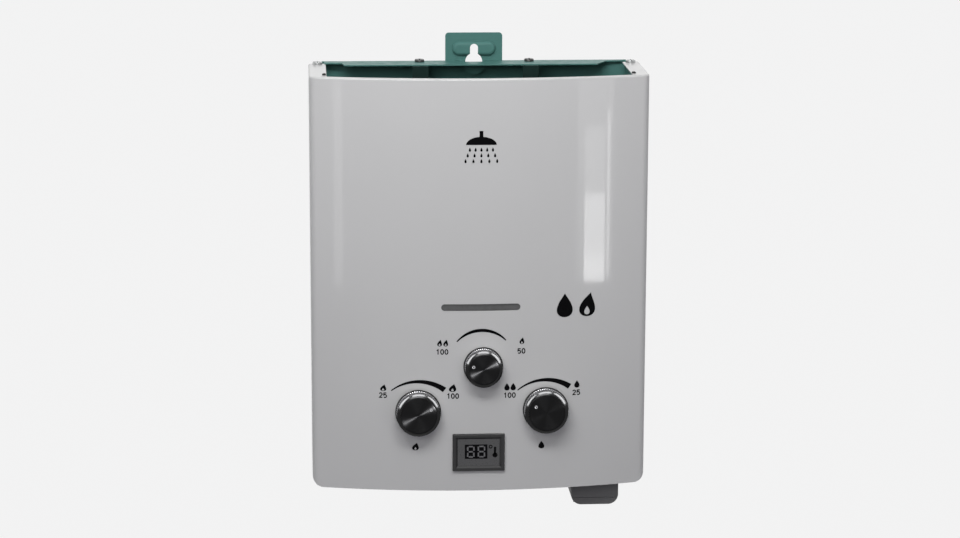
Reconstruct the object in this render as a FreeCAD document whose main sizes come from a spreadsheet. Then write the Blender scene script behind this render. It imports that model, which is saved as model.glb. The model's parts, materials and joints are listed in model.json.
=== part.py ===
import FreeCAD, Part

import math
import os
import re

import Sketcher

# Portable propane water heater, hung on a wall or post by the keyhole of its bracket.
# Millimetres. The origin is the centre of the keyhole's round entry, on the wall plane.
# +X is to the right seen from the front, +Y goes into the wall, +Z is up.
# The places of knobs, valves, burner and battery box chain from one to the next, and the
# casing takes its width and height from what it holds.

Vector = FreeCAD.Vector

# Driving dimensions: one plain number each, written once.
DIMS = {
    # cover: sheet steel with a bowed front, hung over the pan
    "cover_side_depth": 87,
    "cover_bow": 20,
    "cover_gauge": 1,
    "cover_rear_gap": 8,
    "cover_corner_radius": 7,
    "cover_foot_radius": 9.5,
    "cover_edge_radius": 2,
    "cover_hem": 2.4,
    "cover_top_flange": 15,
    "cover_rear_flange": 9,
    "cover_foot_flange": 12,
    "cover_window_corner": 3,
    "cover_screw_inset": 8,
    "cover_screw_from_wall": 13,
    "cover_foot_screw_rise": 16,
    "cover_peg_hole_radius": 1.3,
    "cover_peg_inset": 13,
    "cover_peg_from_front": 8,
    # clearances, and how far cuts run past what they cut
    "hole_clearance": 0.15,
    "running_clearance": 0.05,
    "press_clearance": 0.02,
    "part_gap": 0.3,
    "overrun": 1,
    "embed": 0.5,
    "cut_shim": 0.01,
    # pan: the back sheet, with side walls and a top flange
    "pan_side_gap": 10,
    "pan_gauge": 1,
    "pan_rise": 1,
    "pan_side_depth": 68,
    "pan_lip": 16,
    "pan_lip_corner": 8,
    "pan_lug_depth": 14,
    "pan_flange_depth": 24.5,
    "pan_flange_inset": 3,
    "pan_notch_left": 15,
    "pan_notch_left_depth": 11,
    "pan_notch_right": 25,
    "pan_notch_right_depth": 6,
    "pan_notch_slope": 10,
    "pan_notch_step": 2,
    "keyhole_room": 9,
    "keyhole_room_depth": 7,
    "lower_hole_spacing": 150,
    "lower_hole_radius": 2.5,
    "lower_hole_rise": 7,
    # hanging bracket with its keyhole
    "bracket_gauge": 1.5,
    "bracket_width": 50,
    "bracket_top": 25.5,
    "bracket_drop": 35,
    "bracket_corner": 3,
    "keyhole_radius": 7.5,
    "keyhole_slot_width": 7,
    "keyhole_slot_rise": 12.5,
    "emboss_length": 38,
    "emboss_height": 12.4,
    "emboss_rise": 11.7,
    "emboss_depth": 3.6,
    "emboss_flat": 0.26,
    "emboss_setback": 0.5,
    "rivet_radius": 1.6,
    "rivet_head_radius": 3,
    "rivet_head_height": 1,
    "rivet_spacing_across": 34,
    "rivet_top_drop": 14,
    "rivet_spacing_down": 15,
    # screws
    "screw_radius": 2,
    "screw_length": 8,
    "screw_head_radius": 4.2,
    "screw_head_height": 2.4,
    "screw_head_rim": 1.32,
    "screw_recess_width": 1,
    "screw_recess_depth": 1.3,
    "screw_recess_margin": 1.4,
    "flange_screw_from_pan": 6,
    "small_screw_radius": 1.5,
    "small_screw_head": 3,
    # floor plate
    "floor_rise": 15,
    "floor_gauge": 1,
    "floor_depth": 74,
    "floor_flange": 10,
    "floor_flange_setback": 2,
    "air_slot_count": 5,
    "air_slot_length": 36,
    "air_slot_width": 5,
    "air_slot_pitch": 11,
    "air_slot_x": -12,
    "air_slot_from_pan": 8,
    "drain_hole_clearance": 3,
    # viewing slot, with its window and retainer
    "slot_length": 68,
    "slot_width": 6,
    "slot_above_season": 51.8,
    "window_margin": 5,
    "window_gauge": 0.8,
    "window_gap": 0.1,
    "retainer_margin": 4,
    "spindle_hole_radius": 5,
    # display
    "display_x": -1.7,
    "display_below_valve": 1,
    "bezel_width": 45.2,
    "bezel_height": 33,
    "bezel_proud": 2.4,
    "bezel_rim_flat": 1.44,
    "bezel_frame": 4.4,
    "bezel_slope": 1.6,
    "bezel_wall": 1.6,
    "bezel_depth": 11,
    "lens_recess": 1.4,
    "lens_gauge": 1.5,
    "module_width": 52,
    "module_height": 33,
    "module_depth": 12,
    # knobs: one row of two dials, with the season knob above it
    "season_x": 2.1,
    "season_drop": 249.1,
    "season_radius": 16,
    "season_dot_across": -9.7,
    "season_dot_up": 2.4,
    "dial_row_pitch": 39.2,
    "gas_x": -53.9,
    "gas_dial_step": 0.9,
    "gas_dot_across": 12.2,
    "gas_dot_up": 8.4,
    "water_x": 56.3,
    "water_dot_across": -9.7,
    "water_dot_up": 5.4,
    "dial_radius": 18.7,
    "knob_length": 13.2,
    "knob_off_panel": 0.8,
    "knob_bevel": 1.9,
    "knob_lip": 1.1,
    "knob_face_recess": 1.2,
    "knob_face_gauge": 0.9,
    "knob_wall": 2.4,
    "knob_web": 3,
    "knob_hub_radius": 6,
    "knob_hub_setback": 0.5,
    "knob_flute_radius": 0.55,
    "knob_flute_count": 44,
    "knob_flute_start": 0.4,
    "knob_flute_end": 1.2,
    "dot_radius": 1.2,
    "dot_depth": 0.4,
    "spindle_radius": 3,
    "spindle_flat": 1.8,
    "spindle_flat_past": 1,
    "spindle_end_gap": 1,
    "spindle_in_knob": 8,
    "spindle_in_valve": 22,
    # gas and water valves, side by side on one linkage axis
    "linkage_y": -58,
    "linkage_above_dial": 0.3,
    "gas_valve_left": -84,
    "gas_valve_right": -24,
    "gas_valve_rear": -40,
    "valve_height": 40,
    "valve_boss_radius": 11,
    "valve_boss_length": 7,
    "valve_boss_setback": 11,
    "valve_bore_extra": 6,
    "valve_corner": 3,
    "port_depth": 8,
    "solenoid_x": -66,
    "solenoid_radius": 13,
    "solenoid_length": 28,
    "solenoid_nose": 6,
    "solenoid_nose_length": 3,
    "water_block_left": 44,
    "water_block_right": 76,
    "water_block_rear": -40,
    "disc_radius": 30,
    "disc_cavity_radius": 23,
    "disc_cavity_depth": 4,
    "disc_cover_left": 18,
    "disc_cover_thick": 10,
    "disc_cover_wall": 3,
    "disc_boss_radius": 6,
    "disc_boss_length": 6,
    "disc_flange_thick": 10,
    "disc_neck_radius": 14,
    "diaphragm_thick": 2,
    "disc_screw_circle": 26.5,
    "disc_screw_count": 6,
    "disc_screw_bite": 6,
    "disc_screw_floor": 1,
    "rod_radius": 2,
    "rod_travel": 4,
    "rod_in_gas_valve": 10,
    "rod_end_gap": 2,
    "rod_plate_radius": 12,
    "rod_plate_thick": 2,
    "rod_collar_radius": 7,
    "rod_collar_thick": 3,
    "rod_collar_left": -9.7,
    "bridge_y": -45,
    "bridge_gauge": 2.5,
    "bridge_height": 38,
    "bridge_rise": 26,
    "bridge_foot_height": 14,
    "bridge_foot_depth": 6,
    "switch_left": -16,
    "switch_length": 20,
    "switch_rise": 20,
    "switch_depth": 10,
    "switch_height": 10,
    "switch_ear": 2.4,
    "switch_ear_gauge": 0.8,
    "lever_gauge": 0.5,
    "lever_width": 6.5,
    "lever_reach": 24,
    "lever_tail": 1,
    "lever_rod_gap": 3,
    "lever_pin_drop": 2,
    "lever_pin_radius": 0.6,
    "lever_barrel_radius": 1.3,
    # burner
    "core_side_space": 47,
    "core_setback": 28,
    "core_from_pan": 17.5,
    "sheet_gauge": 1,
    "tray_above_season": 15.1,
    "tray_height": 29,
    "tray_ledge": 12,
    "tray_port_clearance": 1,
    "bar_count": 9,
    "bar_width": 9,
    "bar_side_room": 8.5,
    "bar_height": 27,
    "bar_end_gap": 2,
    "bar_port_width": 1.2,
    "bar_port_depth": 3,
    "bar_port_inset": 4,
    "throat_radius": 3,
    "throat_rise": 8,
    "throat_depth": 12,
    "manifold_inset": 6,
    "manifold_depth": 11,
    "manifold_setback": 3,
    "manifold_height": 14,
    "manifold_bore": 4,
    "manifold_end_wall": 4,
    "injector_radius": 2,
    "injector_thread": 3,
    "injector_end_gap": 1,
    "injector_head": 3.5,
    "injector_head_length": 1.6,
    "injector_nozzle": 1.5,
    "injector_gap": 1,
    "season_valve_half": 20,
    "season_valve_reach": 8,
    "season_valve_height": 24,
    "season_valve_gap": 1,
    "season_boss_radius": 10,
    "season_boss_length": 4,
    "season_boss_setback": 6,
    "season_bore_extra": 2,
    # heat exchanger
    "chamber_height": 92,
    "sight_width": 76,
    "sight_height": 12,
    "fin_count": 38,
    "fin_gauge": 0.4,
    "fin_block_height": 40,
    "tube_radius": 6,
    "tube_bore": 5.3,
    "tube_row_pitch": 17,
    "tube_row_rise": 16,
    "tube_first_rise": 12,
    "tube_overhang": 6,
    "tube_bend_slack": 0.1,
    "hood_below_pan": 19,
    "hood_narrowing": 24,
    "hood_lean_front": 6,
    "hood_lean_rear": 10,
    "hood_gauge": 0.8,
    "tab_inset": 14,
    "tab_width": 14,
    "tab_gauge": 1.2,
    "tab_overlap": 3,
    "stay_width": 14,
    "stay_side": 60,
    "stay_inset": 12,
    "stay_foot_height": 10,
    # water connectors and pipes
    "connector_radius": 10.48,
    "connector_bore": 7,
    "connector_drop": 5,
    "connector_height": 36,
    "thread_relief_width": 1,
    "thread_relief_depth": 0.7,
    "outlet_from_side": 21,
    "cold_inlet_x": 62,
    "shoulder_radius": 14,
    "shoulder_height": 3,
    "nut_across_flats": 27,
    "nut_height": 8,
    "stub_height": 5,
    "stub_radius": 9,
    "bend_radius": 13,
    "gas_pipe_radius": 5,
    "gas_pipe_bore": 4,
    "gas_pipe_setback": 1,
    "gas_pipe_rise": 2,
    "cold_pipe_offset": 16,
    "cold_pipe_start": 64,
    "cold_pipe_rise": 22,
    "cold_pipe_slant": 28,
    "hot_pipe_low": 34,
    "hot_pipe_slant": 26,
    "drain_x": 38,
    "drain_boss_radius": 6,
    "drain_boss_height": 8,
    "drain_plug_radius": 4,
    "drain_plug_depth": 8,
    "drain_end_gap": 1,
    "drain_collar_width": 2,
    "drain_collar_depth": 2,
    "drain_head_radius": 6.5,
    "drain_head_height": 9,
    "drain_head_drop": 4,
    "drain_grip_width": 3,
    "drain_grip_length": 4,
    "seal_thick": 2,
    # igniter and sensors
    "igniter_width": 28,
    "igniter_depth": 30,
    "igniter_height": 80,
    "igniter_from_pipe": 3.5,
    "igniter_below_fins": 7,
    "igniter_corner": 1.5,
    "electrode_x": 55,
    "electrode_rise": 7,
    "ceramic_radius": 3,
    "ceramic_length": 20,
    "ceramic_inside": 6,
    "electrode_wire_radius": 0.8,
    "electrode_reach": 14,
    "electrode_tail": 3,
    "electrode_clip": 14,
    "thermostat_radius": 8,
    "thermostat_thick": 6,
    "thermostat_cap": 2,
    "thermostat_below_fins": 37,
    "sensor_rise": 94,
    "sensor_length": 10,
    "sensor_wall": 1.6,
    "sensor_bead": 5,
    "sensor_bead_reach": 7,
    # battery box for two upright D cells, one behind the other
    "battery_from_inlet": 20,
    "battery_from_side": 9.4,
    "battery_wall": 2,
    "battery_from_pan": 2.5,
    "battery_foot_drop": 23,
    "battery_lid_height": 6,
    "battery_corner": 9,
    "cell_radius": 17.1,
    "cell_length": 61.5,
    "cell_nipple_radius": 4.8,
    "cell_nipple_height": 1.5,
    "cell_gap": 0.2,
    "cell_side_gap": 1.7,
    "cell_foot_gap": 0.5,
    "cell_top_gap": 2,
    "contact_gauge": 0.5,
    "contact_radius": 6,
    "contact_tip": 4,
    "top_contact_height": 1.6,
    "lid_hinge_inset": 2,
    "lid_hinge_rise": 3.6,
    "lid_step": 1.5,
    "knuckle_radius": 1.95,
    "lug_width": 6,
    "lug_inset": 4,
    "hinge_pin_radius": 0.9,
    "catch_width": 4.6,
    "catch_height": 9,
    "catch_gauge": 1.5,
    "catch_gap": 0.7,
    "collar_width": 4,
    "collar_gauge": 1.5,
}

# Places worked out from the driving dimensions.
PLACES = {
    # rows on the front, from the top down
    "season_z": "-season_drop",
    "slot_z": "season_z + slot_above_season",
    "water_z": "season_z - dial_row_pitch",
    "gas_z": "water_z - gas_dial_step",
    "linkage_z": "water_z + linkage_above_dial",
    "valve_top": "linkage_z + valve_height / 2",
    "valve_foot": "linkage_z - valve_height / 2",
    "display_z": "valve_foot - display_below_valve - module_height / 2",
    "floor_top": "valve_foot - connector_height",
    "floor_under": "floor_top - floor_gauge",
    "cover_foot": "floor_under - floor_rise",
    # width, from the battery box outwards
    "battery_half": "cell_radius + cell_side_gap + battery_wall",
    "battery_left": "cold_inlet_x + battery_from_inlet",
    "battery_centre": "battery_left + battery_half",
    "battery_right": "battery_centre + battery_half",
    "pan_inside": "battery_right + battery_from_side",
    "half_pan": "pan_inside + pan_gauge",
    "half_cover": "half_pan + pan_side_gap + cover_gauge",
    # cover
    "cover_front": "-cover_side_depth - cover_bow",
    "bow_radius": "(half_cover * half_cover + cover_bow * cover_bow) / (2 * cover_bow)",
    "bow_centre": "cover_front + bow_radius",
    "cover_rear": "-cover_rear_gap",
    "cover_inside": "cover_front + cover_gauge",
    "cover_flange_front": "cover_rear - cover_gauge",
    "cover_screw_x": "half_cover - cover_screw_inset",
    "foot_screw_x": "half_pan + pan_side_gap / 2",
    "foot_screw_z": "cover_foot + cover_foot_screw_rise",
    # pan and floor
    "pan_rear": "-bracket_gauge",
    "pan_front": "pan_rear - pan_gauge",
    "pan_top": "pan_rise - pan_gauge",
    "pan_side_front": "pan_front - pan_side_depth",
    "pan_foot": "cover_foot - pan_lip",
    "pan_flange_end": "half_pan - pan_flange_inset",
    "pan_notch_left_x": "-pan_flange_end + pan_notch_left",
    "pan_notch_right_x": "pan_flange_end - pan_notch_right",
    "lug_top": "-cover_gauge",
    "lug_foot": "cover_foot + cover_gauge",
    "floor_front": "pan_front - floor_depth",
    # window and display
    "window_half": "slot_length / 2 + window_margin",
    "window_half_height": "slot_width / 2 + window_margin",
    "window_drop": "bow_radius - sqrt(bow_radius * bow_radius - window_half * window_half)",
    "window_front": "cover_inside + window_drop + window_gap",
    "window_rear": "window_front + window_gauge",
    "bezel_back": "cover_front - running_clearance",
    "bezel_front": "bezel_back - bezel_proud",
    "bezel_rear": "bezel_back + bezel_depth",
    "lens_half_width": "bezel_width / 2 - bezel_frame",
    "lens_half_height": "bezel_height / 2 - bezel_frame",
    "lens_front": "bezel_front + lens_recess",
    "neck_half_width": "lens_half_width + bezel_wall",
    "neck_half_height": "lens_half_height + bezel_wall",
    # knobs
    "dial_nearest": "water_x - dial_radius",
    "dial_edge_inset": "bow_radius - sqrt(bow_radius * bow_radius - dial_nearest * dial_nearest)",
    "dial_rear": "cover_front + dial_edge_inset - knob_off_panel",
    "dial_front": "dial_rear - knob_length",
    "season_rear": "cover_front - knob_off_panel",
    "season_front": "season_rear - knob_length",
    # valves and linkage
    "valve_boss_front": "cover_inside + valve_boss_setback",
    "valve_front": "valve_boss_front + valve_boss_length",
    "valve_bore_end": "valve_boss_front + spindle_in_valve + valve_bore_extra",
    "disc_cover_right": "disc_cover_left + disc_cover_thick",
    "disc_flange_left": "disc_cover_right + diaphragm_thick",
    "disc_flange_right": "disc_flange_left + disc_flange_thick",
    "rod_plate_right": "disc_cover_right - part_gap",
    "rod_left": "gas_valve_right - rod_in_gas_valve",
    "rod_bore_end": "rod_left - rod_travel - rod_end_gap",
    "bridge_top": "linkage_z + bridge_rise",
    "bridge_bottom": "bridge_top - bridge_height",
    "switch_foot": "linkage_z + switch_rise",
    "switch_front": "bridge_y - switch_depth",
    "lever_x": "rod_collar_left - part_gap - lever_gauge / 2",
    "lever_pin_z": "switch_foot - lever_pin_drop",
    "lever_front": "linkage_y + rod_radius + lever_rod_gap",
    # burner
    "core_half": "pan_inside - core_side_space",
    "core_front": "cover_inside + core_setback",
    "core_rear": "pan_front - core_from_pan",
    "core_middle": "(core_rear + core_front) / 2",
    "tray_foot": "season_z + tray_above_season",
    "tray_top": "tray_foot + tray_height",
    "tray_floor": "tray_foot + sheet_gauge",
    "bar_top": "tray_floor + bar_height",
    "bar_front": "core_front + sheet_gauge + bar_end_gap",
    "bar_rear": "core_rear - sheet_gauge - bar_end_gap",
    "bar_reach": "core_half - sheet_gauge - bar_side_room - bar_width / 2",
    "bar_pitch": "2 * bar_reach / (bar_count - 1)",
    "throat_z": "tray_floor + throat_rise",
    "manifold_half": "core_half - manifold_inset",
    "manifold_rear": "core_front - manifold_setback",
    "manifold_front": "manifold_rear - manifold_depth",
    "manifold_foot": "throat_z - manifold_height / 2",
    "manifold_top": "throat_z + manifold_height / 2",
    "injector_head_end": "manifold_rear + injector_head_length",
    "season_valve_left": "season_x - season_valve_half",
    "season_valve_right": "season_x + season_valve_half",
    "season_boss_front": "cover_inside + season_boss_setback",
    "season_valve_front": "season_boss_front + season_boss_length",
    "season_valve_rear": "core_front + season_valve_reach",
    "season_valve_top": "tray_foot - season_valve_gap",
    "season_valve_foot": "season_valve_top - season_valve_height",
    "season_bore_end": "season_boss_front + spindle_in_valve + season_bore_extra",
    # heat exchanger
    "chamber_top": "tray_top + chamber_height",
    "fin_top": "chamber_top + fin_block_height",
    "fin_pitch": "(2 * core_half - fin_gauge) / (fin_count - 1)",
    "tube_low_z": "chamber_top + tube_first_rise",
    "tube_high_z": "tube_low_z + tube_row_rise",
    "tube_end": "core_half + tube_overhang",
    "tube_turn": "tube_end + tube_radius",
    "hood_top": "pan_top - hood_below_pan",
    "hood_top_half": "core_half - hood_narrowing",
    "hood_top_front": "core_front + hood_lean_front",
    "hood_top_rear": "core_rear - hood_lean_rear",
    "flange_screw_x": "hood_top_half - tab_inset",
    "flange_screw_y": "pan_front - flange_screw_from_pan",
    # connectors and pipes
    "hot_outlet_x": "-pan_inside + outlet_from_side",
    "hot_pipe_y": "core_middle + tube_row_pitch / 2",
    "cold_pipe_x": "tube_end + cold_pipe_offset",
    "cold_pipe_y": "core_middle + tube_row_pitch",
    "cold_pipe_z": "valve_top + cold_pipe_rise",
    "gas_pipe_y": "core_front - gas_pipe_setback",
    "gas_pipe_z": "season_z + gas_pipe_rise",
    "connector_foot": "cover_foot - connector_drop",
    "shoulder_top": "floor_top + shoulder_height",
    "stub_top": "shoulder_top + stub_height",
    "nut_foot": "floor_under - nut_height",
    "drain_boss_foot": "linkage_z - disc_radius - drain_boss_height",
    "drain_head_top": "floor_under - drain_head_drop",
    "drain_head_foot": "drain_head_top - drain_head_height",
    "seal_foot": "drain_boss_foot - seal_thick",
    # igniter and sensors
    "igniter_front": "hot_pipe_y - tube_radius - igniter_from_pipe - igniter_depth",
    "igniter_top": "chamber_top - igniter_below_fins",
    "electrode_z": "tray_top + electrode_rise",
    "ceramic_front": "core_front + ceramic_inside - ceramic_length",
    "thermostat_z": "chamber_top - thermostat_below_fins",
    "thermostat_left": "-core_half - thermostat_thick",
    "sensor_z": "floor_top + sensor_rise",
    # battery box
    "battery_rear": "pan_front - battery_from_pan",
    "battery_depth": "4 * cell_radius + 3 * cell_gap + 2 * battery_wall",
    "battery_front": "battery_rear - battery_depth",
    "battery_foot": "cover_foot - battery_foot_drop",
    "battery_floor": "battery_foot + battery_wall",
    "lid_top": "battery_foot + battery_lid_height",
    "case_foot": "lid_top + part_gap",
    "cell_foot": "lid_top + cell_foot_gap",
    "cell_top": "cell_foot + cell_length",
    "battery_ceiling": "cell_top + cell_top_gap",
    "battery_top": "battery_ceiling + battery_wall",
    "rear_cell_y": "battery_rear - battery_wall - cell_gap - cell_radius",
    "front_cell_y": "rear_cell_y - 2 * cell_radius - cell_gap",
    "hinge_y": "battery_rear - lid_hinge_inset",
    "hinge_z": "battery_foot + lid_hinge_rise",
}

doc = FreeCAD.newDocument("water_heater")
dims = doc.addObject("Spreadsheet::Sheet", "dims")
places = doc.addObject("Spreadsheet::Sheet", "places")
WORD = re.compile(r"[a-z_]+")
TOUCH = 0.01  # places closer than this are the same place


def bound(text, own=()):
    """The expression with each alias led by the name of its sheet."""

    def lead(match):
        word = match.group()
        if word in DIMS:
            return "dims." + word
        if word in PLACES and word not in own:
            return "places." + word
        return word

    return WORD.sub(lead, str(text))


def fill_sheet(sheet, entries, as_cell):
    for row, (alias, entry) in enumerate(entries.items(), start=1):
        sheet.set(f"A{row}", alias)
        sheet.set(f"B{row}", as_cell(entry))
        sheet.setAlias(f"B{row}", alias)
    doc.recompute()


fill_sheet(dims, DIMS, str)
fill_sheet(places, PLACES, lambda formula: "=" + bound(formula, own=PLACES))


def number(text):
    """The present value of an expression, for shapes that code sets."""
    return float(places.evalExpression(bound(text)))


# ---------------------------------------------------------------- building blocks

ALONG = {
    "x": FreeCAD.Rotation(Vector(0, 1, 0), 90),
    "y": FreeCAD.Rotation(Vector(1, 0, 0), -90),
    "z": FreeCAD.Rotation(),
}


def place(solid, axis, start, across):
    """Stands a solid of revolution on `start`, its axis through the point `across`."""
    solid.Placement = FreeCAD.Placement(Vector(), ALONG[axis])
    others = [letter for letter in "xyz" if letter != axis]
    solid.setExpression(f"Placement.Base.{axis}", bound(start))
    for letter, value in zip(others, across):
        solid.setExpression(f"Placement.Base.{letter}", bound(value))
    return solid


def box(name, x, y, z):
    """A block between two limits along each axis."""
    solid = doc.addObject("Part::Box", name)
    for size, letter, (low, high) in zip(("Length", "Width", "Height"), "xyz", (x, y, z)):
        solid.setExpression(size, bound(f"({high}) - ({low})"))
        solid.setExpression(f"Placement.Base.{letter}", bound(low))
    return solid


def rod(name, radius, axis, span, across):
    """A cylinder along an axis, between the two limits of `span`."""
    solid = doc.addObject("Part::Cylinder", name)
    solid.setExpression("Radius", bound(radius))
    solid.setExpression("Height", bound(f"({span[1]}) - ({span[0]})"))
    return place(solid, axis, span[0], across)


def taper(name, radii, axis, span, across):
    """A cone's frustum, with its first radius at the lower limit."""
    solid = doc.addObject("Part::Cone", name)
    solid.setExpression("Radius1", bound(radii[0]))
    solid.setExpression("Radius2", bound(radii[1]))
    solid.setExpression("Height", bound(f"({span[1]}) - ({span[0]})"))
    return place(solid, axis, span[0], across)


def hexagon(name, across_flats, span, across):
    solid = doc.addObject("Part::Prism", name)
    solid.Polygon = 6
    solid.setExpression("Circumradius", bound(f"({across_flats}) / sqrt(3)"))
    solid.setExpression("Height", bound(f"({span[1]}) - ({span[0]})"))
    return place(solid, "z", span[0], across)


def fuse(name, parts):
    solid = doc.addObject("Part::MultiFuse", name)
    solid.Shapes = parts
    solid.Refine = True
    return solid


def common(name, parts):
    solid = doc.addObject("Part::MultiCommon", name)
    solid.Shapes = parts
    return solid


def group(name, parts):
    """Separate solids that share one node."""
    solid = doc.addObject("Part::Compound", name)
    solid.Links = parts
    return solid


def cut(name, base, tools):
    solid = doc.addObject("Part::Cut", name)
    solid.Base = base
    solid.Tool = tools[0] if len(tools) == 1 else group(name + "_tools", tools)
    return solid


def round_edges(name, base, radius, chosen):
    """Rounds the edges that `chosen` picks by their place."""
    doc.recompute()
    size = number(radius)
    solid = doc.addObject("Part::Fillet", name)
    solid.Base = base
    solid.Edges = [
        (index, size, size)
        for index, edge in enumerate(base.Shape.Edges, start=1)
        if chosen(edge)
    ]
    return solid


def near(value, text):
    return abs(value - number(text)) < TOUCH


def flat_at(axis, text):
    """Picks the edges that lie wholly at one height along an axis."""
    low, high = axis.upper() + "Min", axis.upper() + "Max"
    return lambda edge: all(near(getattr(edge.BoundBox, end), text) for end in (low, high))


def runs_along(edge, axis):
    """True for a straight edge along one axis."""
    spans = {"x": edge.BoundBox.XLength, "y": edge.BoundBox.YLength, "z": edge.BoundBox.ZLength}
    return all((length > TOUCH) == (letter == axis) for letter, length in spans.items())


def plane_of(body, role):
    return next(feature for feature in body.Origin.OriginFeatures if feature.Role == role)


def sketch(body, name, role, corners, offset="0", circles=()):
    """A closed outline on one of the body's own planes.

    Each corner is (u, v), or (u, v, radius) where the edge that leaves it is an arc
    that bulges to the right of its direction of travel.
    """
    drawing = body.newObject("Sketcher::SketchObject", name)
    drawing.AttachmentSupport = [(plane_of(body, role), "")]
    drawing.MapMode = "FlatFace"
    drawing.setExpression("AttachmentOffset.Base.z", bound(offset))
    points = [Vector(number(corner[0]), number(corner[1]), 0) for corner in corners]
    count = len(corners)
    for index, corner in enumerate(corners):
        start, end = points[index], points[(index + 1) % count]
        if len(corner) == 3:
            drawing.addGeometry(bulged(start, end, number(corner[2])), False)
        else:
            drawing.addGeometry(Part.LineSegment(start, end), False)
    for index, corner in enumerate(corners):
        following = (index + 1) % count
        if len(corner) == 3:
            radius = drawing.addConstraint(Sketcher.Constraint("Radius", index, number(corner[2])))
            drawing.setExpression(f"Constraints[{radius}]", bound(corner[2]))
        drawing.addConstraint(Sketcher.Constraint("Coincident", index, 2, following, 1))
        for kind, value in (("DistanceX", corner[0]), ("DistanceY", corner[1])):
            size = number(value)
            held = drawing.addConstraint(Sketcher.Constraint(kind, -1, 1, index, 1, size))
            drawing.setExpression(f"Constraints[{held}]", bound(value))
    for centre_u, centre_v, radius in circles:
        ring = Part.Circle(Vector(number(centre_u), number(centre_v), 0), Vector(0, 0, 1), number(radius))
        index = drawing.addGeometry(ring, False)
        for kind, value in (("DistanceX", centre_u), ("DistanceY", centre_v)):
            held = drawing.addConstraint(Sketcher.Constraint(kind, -1, 1, index, 3, number(value)))
            drawing.setExpression(f"Constraints[{held}]", bound(value))
        held = drawing.addConstraint(Sketcher.Constraint("Radius", index, number(radius)))
        drawing.setExpression(f"Constraints[{held}]", bound(radius))
    return drawing


def bulged(start, end, radius):
    """The short counter-clockwise arc from start to end."""
    chord = end - start
    middle = (start + end) / 2
    left = Vector(-chord.y, chord.x, 0).normalize()
    centre = middle + left * math.sqrt(radius**2 - (chord.Length / 2) ** 2)
    crown = centre - left * radius
    return Part.Arc(start, crown, end)


def pad(body, name, drawing, length):
    feature = body.newObject("PartDesign::Pad", name)
    feature.Profile = drawing
    feature.setExpression("Length", bound(length))
    body.Tip = feature
    return feature


def turn(body, name, drawing):
    """A full revolution about the sketch's vertical axis."""
    feature = body.newObject("PartDesign::Revolution", name)
    feature.Profile = drawing
    feature.ReferenceAxis = (drawing, ["V_Axis"])
    feature.Angle = 360
    body.Tip = feature
    return feature


def soften(body, name, radius, chosen):
    """A PartDesign fillet on the chosen edges of the body so far."""
    doc.recompute()
    base = body.Tip
    edges = [f"Edge{i}" for i, edge in enumerate(base.Shape.Edges, start=1) if chosen(edge)]
    feature = body.newObject("PartDesign::Fillet", name)
    feature.Base = (base, edges)
    feature.setExpression("Radius", bound(radius))
    body.Tip = feature
    return feature


def stadium(name, length, width, x, z, span):
    """A slot form with full-round ends, along X, through the limits of `span` in Y."""
    half = f"(({length}) - ({width})) / 2"
    middle = box(
        name + "_middle",
        (f"({x}) - {half}", f"({x}) + {half}"),
        span,
        (f"({z}) - ({width}) / 2", f"({z}) + ({width}) / 2"),
    )
    ends = [
        rod(f"{name}_end_{side}", f"({width}) / 2", "y", span, (f"({x}) {sign} {half}", z))
        for side, sign in (("left", "-"), ("right", "+"))
    ]
    return fuse(name, [middle] + ends)


def pan_head_screw(name, axis, sense, seat, across, radius, head, length):
    """A pan-head screw whose head stands on `seat`, with its shank running the other way."""
    above, below = ("+", "-") if sense > 0 else ("-", "+")
    head_end = f"({seat}) {above} screw_head_height"
    tip = f"({seat}) {below} ({length})"
    recess_end = f"{head_end} {below} screw_recess_depth"
    spans = {
        "head": sorted_span(seat, head_end),
        "shank": sorted_span(tip, seat),
        "recess": sorted_span(recess_end, f"{head_end} {above} overrun"),
    }
    blank = fuse(
        name + "_blank",
        [
            rod(name + "_head", head, axis, spans["head"], across),
            rod(name + "_shank", radius, axis, spans["shank"], across),
        ],
    )
    domed = round_edges(name + "_dome", blank, "screw_head_height - screw_head_rim", flat_at(axis, head_end))
    others = [letter for letter in "xyz" if letter != axis]
    bars = []
    for index in range(2):
        limits = {axis: spans["recess"]}
        for letter, value, half in zip(others, across, (index, 1 - index)):
            reach = f"({head}) - screw_recess_margin" if half else "screw_recess_width / 2"
            limits[letter] = (f"({value}) - {reach}", f"({value}) + {reach}")
        bars.append(box(f"{name}_bar_{index}", limits["x"], limits["y"], limits["z"]))
    return cut(name, domed, bars)


def sorted_span(first, second):
    return (first, second) if number(first) < number(second) else (second, first)


def pipe_solid(points, radius, bend):
    """Straight runs joined by tangent arcs, swept with a round section."""
    edges = []
    start = points[0]
    for before, corner, after in zip(points, points[1:], points[2:]):
        inward = (corner - before).normalize()
        outward = (after - corner).normalize()
        turn_angle = inward.getAngle(outward)
        reach = bend * math.tan(turn_angle / 2)
        first = corner - inward * reach
        last = corner + outward * reach
        bisector = (outward - inward).normalize()
        centre = corner + bisector * (bend / math.cos(turn_angle / 2))
        crown = centre - bisector * bend
        edges.append(Part.LineSegment(start, first).toShape())
        edges.append(Part.Arc(first, crown, last).toShape())
        start = last
    edges.append(Part.LineSegment(start, points[-1]).toShape())
    direction = (points[1] - points[0]).normalize()
    section = Part.Wire(Part.Circle(points[0], direction, radius).toShape())
    return Part.Wire(edges).makePipe(Part.Face(section))


def pipe(name, route, radius, bore, bend):
    """A bent tube through the points of `route`, each written as three expressions."""
    points = [Vector(*[number(value) for value in point]) for point in route]
    outer = pipe_solid(points, number(radius), number(bend))
    inner = pipe_solid(points, number(bore), number(bend))
    feature = doc.addObject("Part::Feature", name)
    feature.Shape = outer.cut(inner)
    feature.Placement = FreeCAD.Placement()
    return feature


parts = {}


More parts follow.
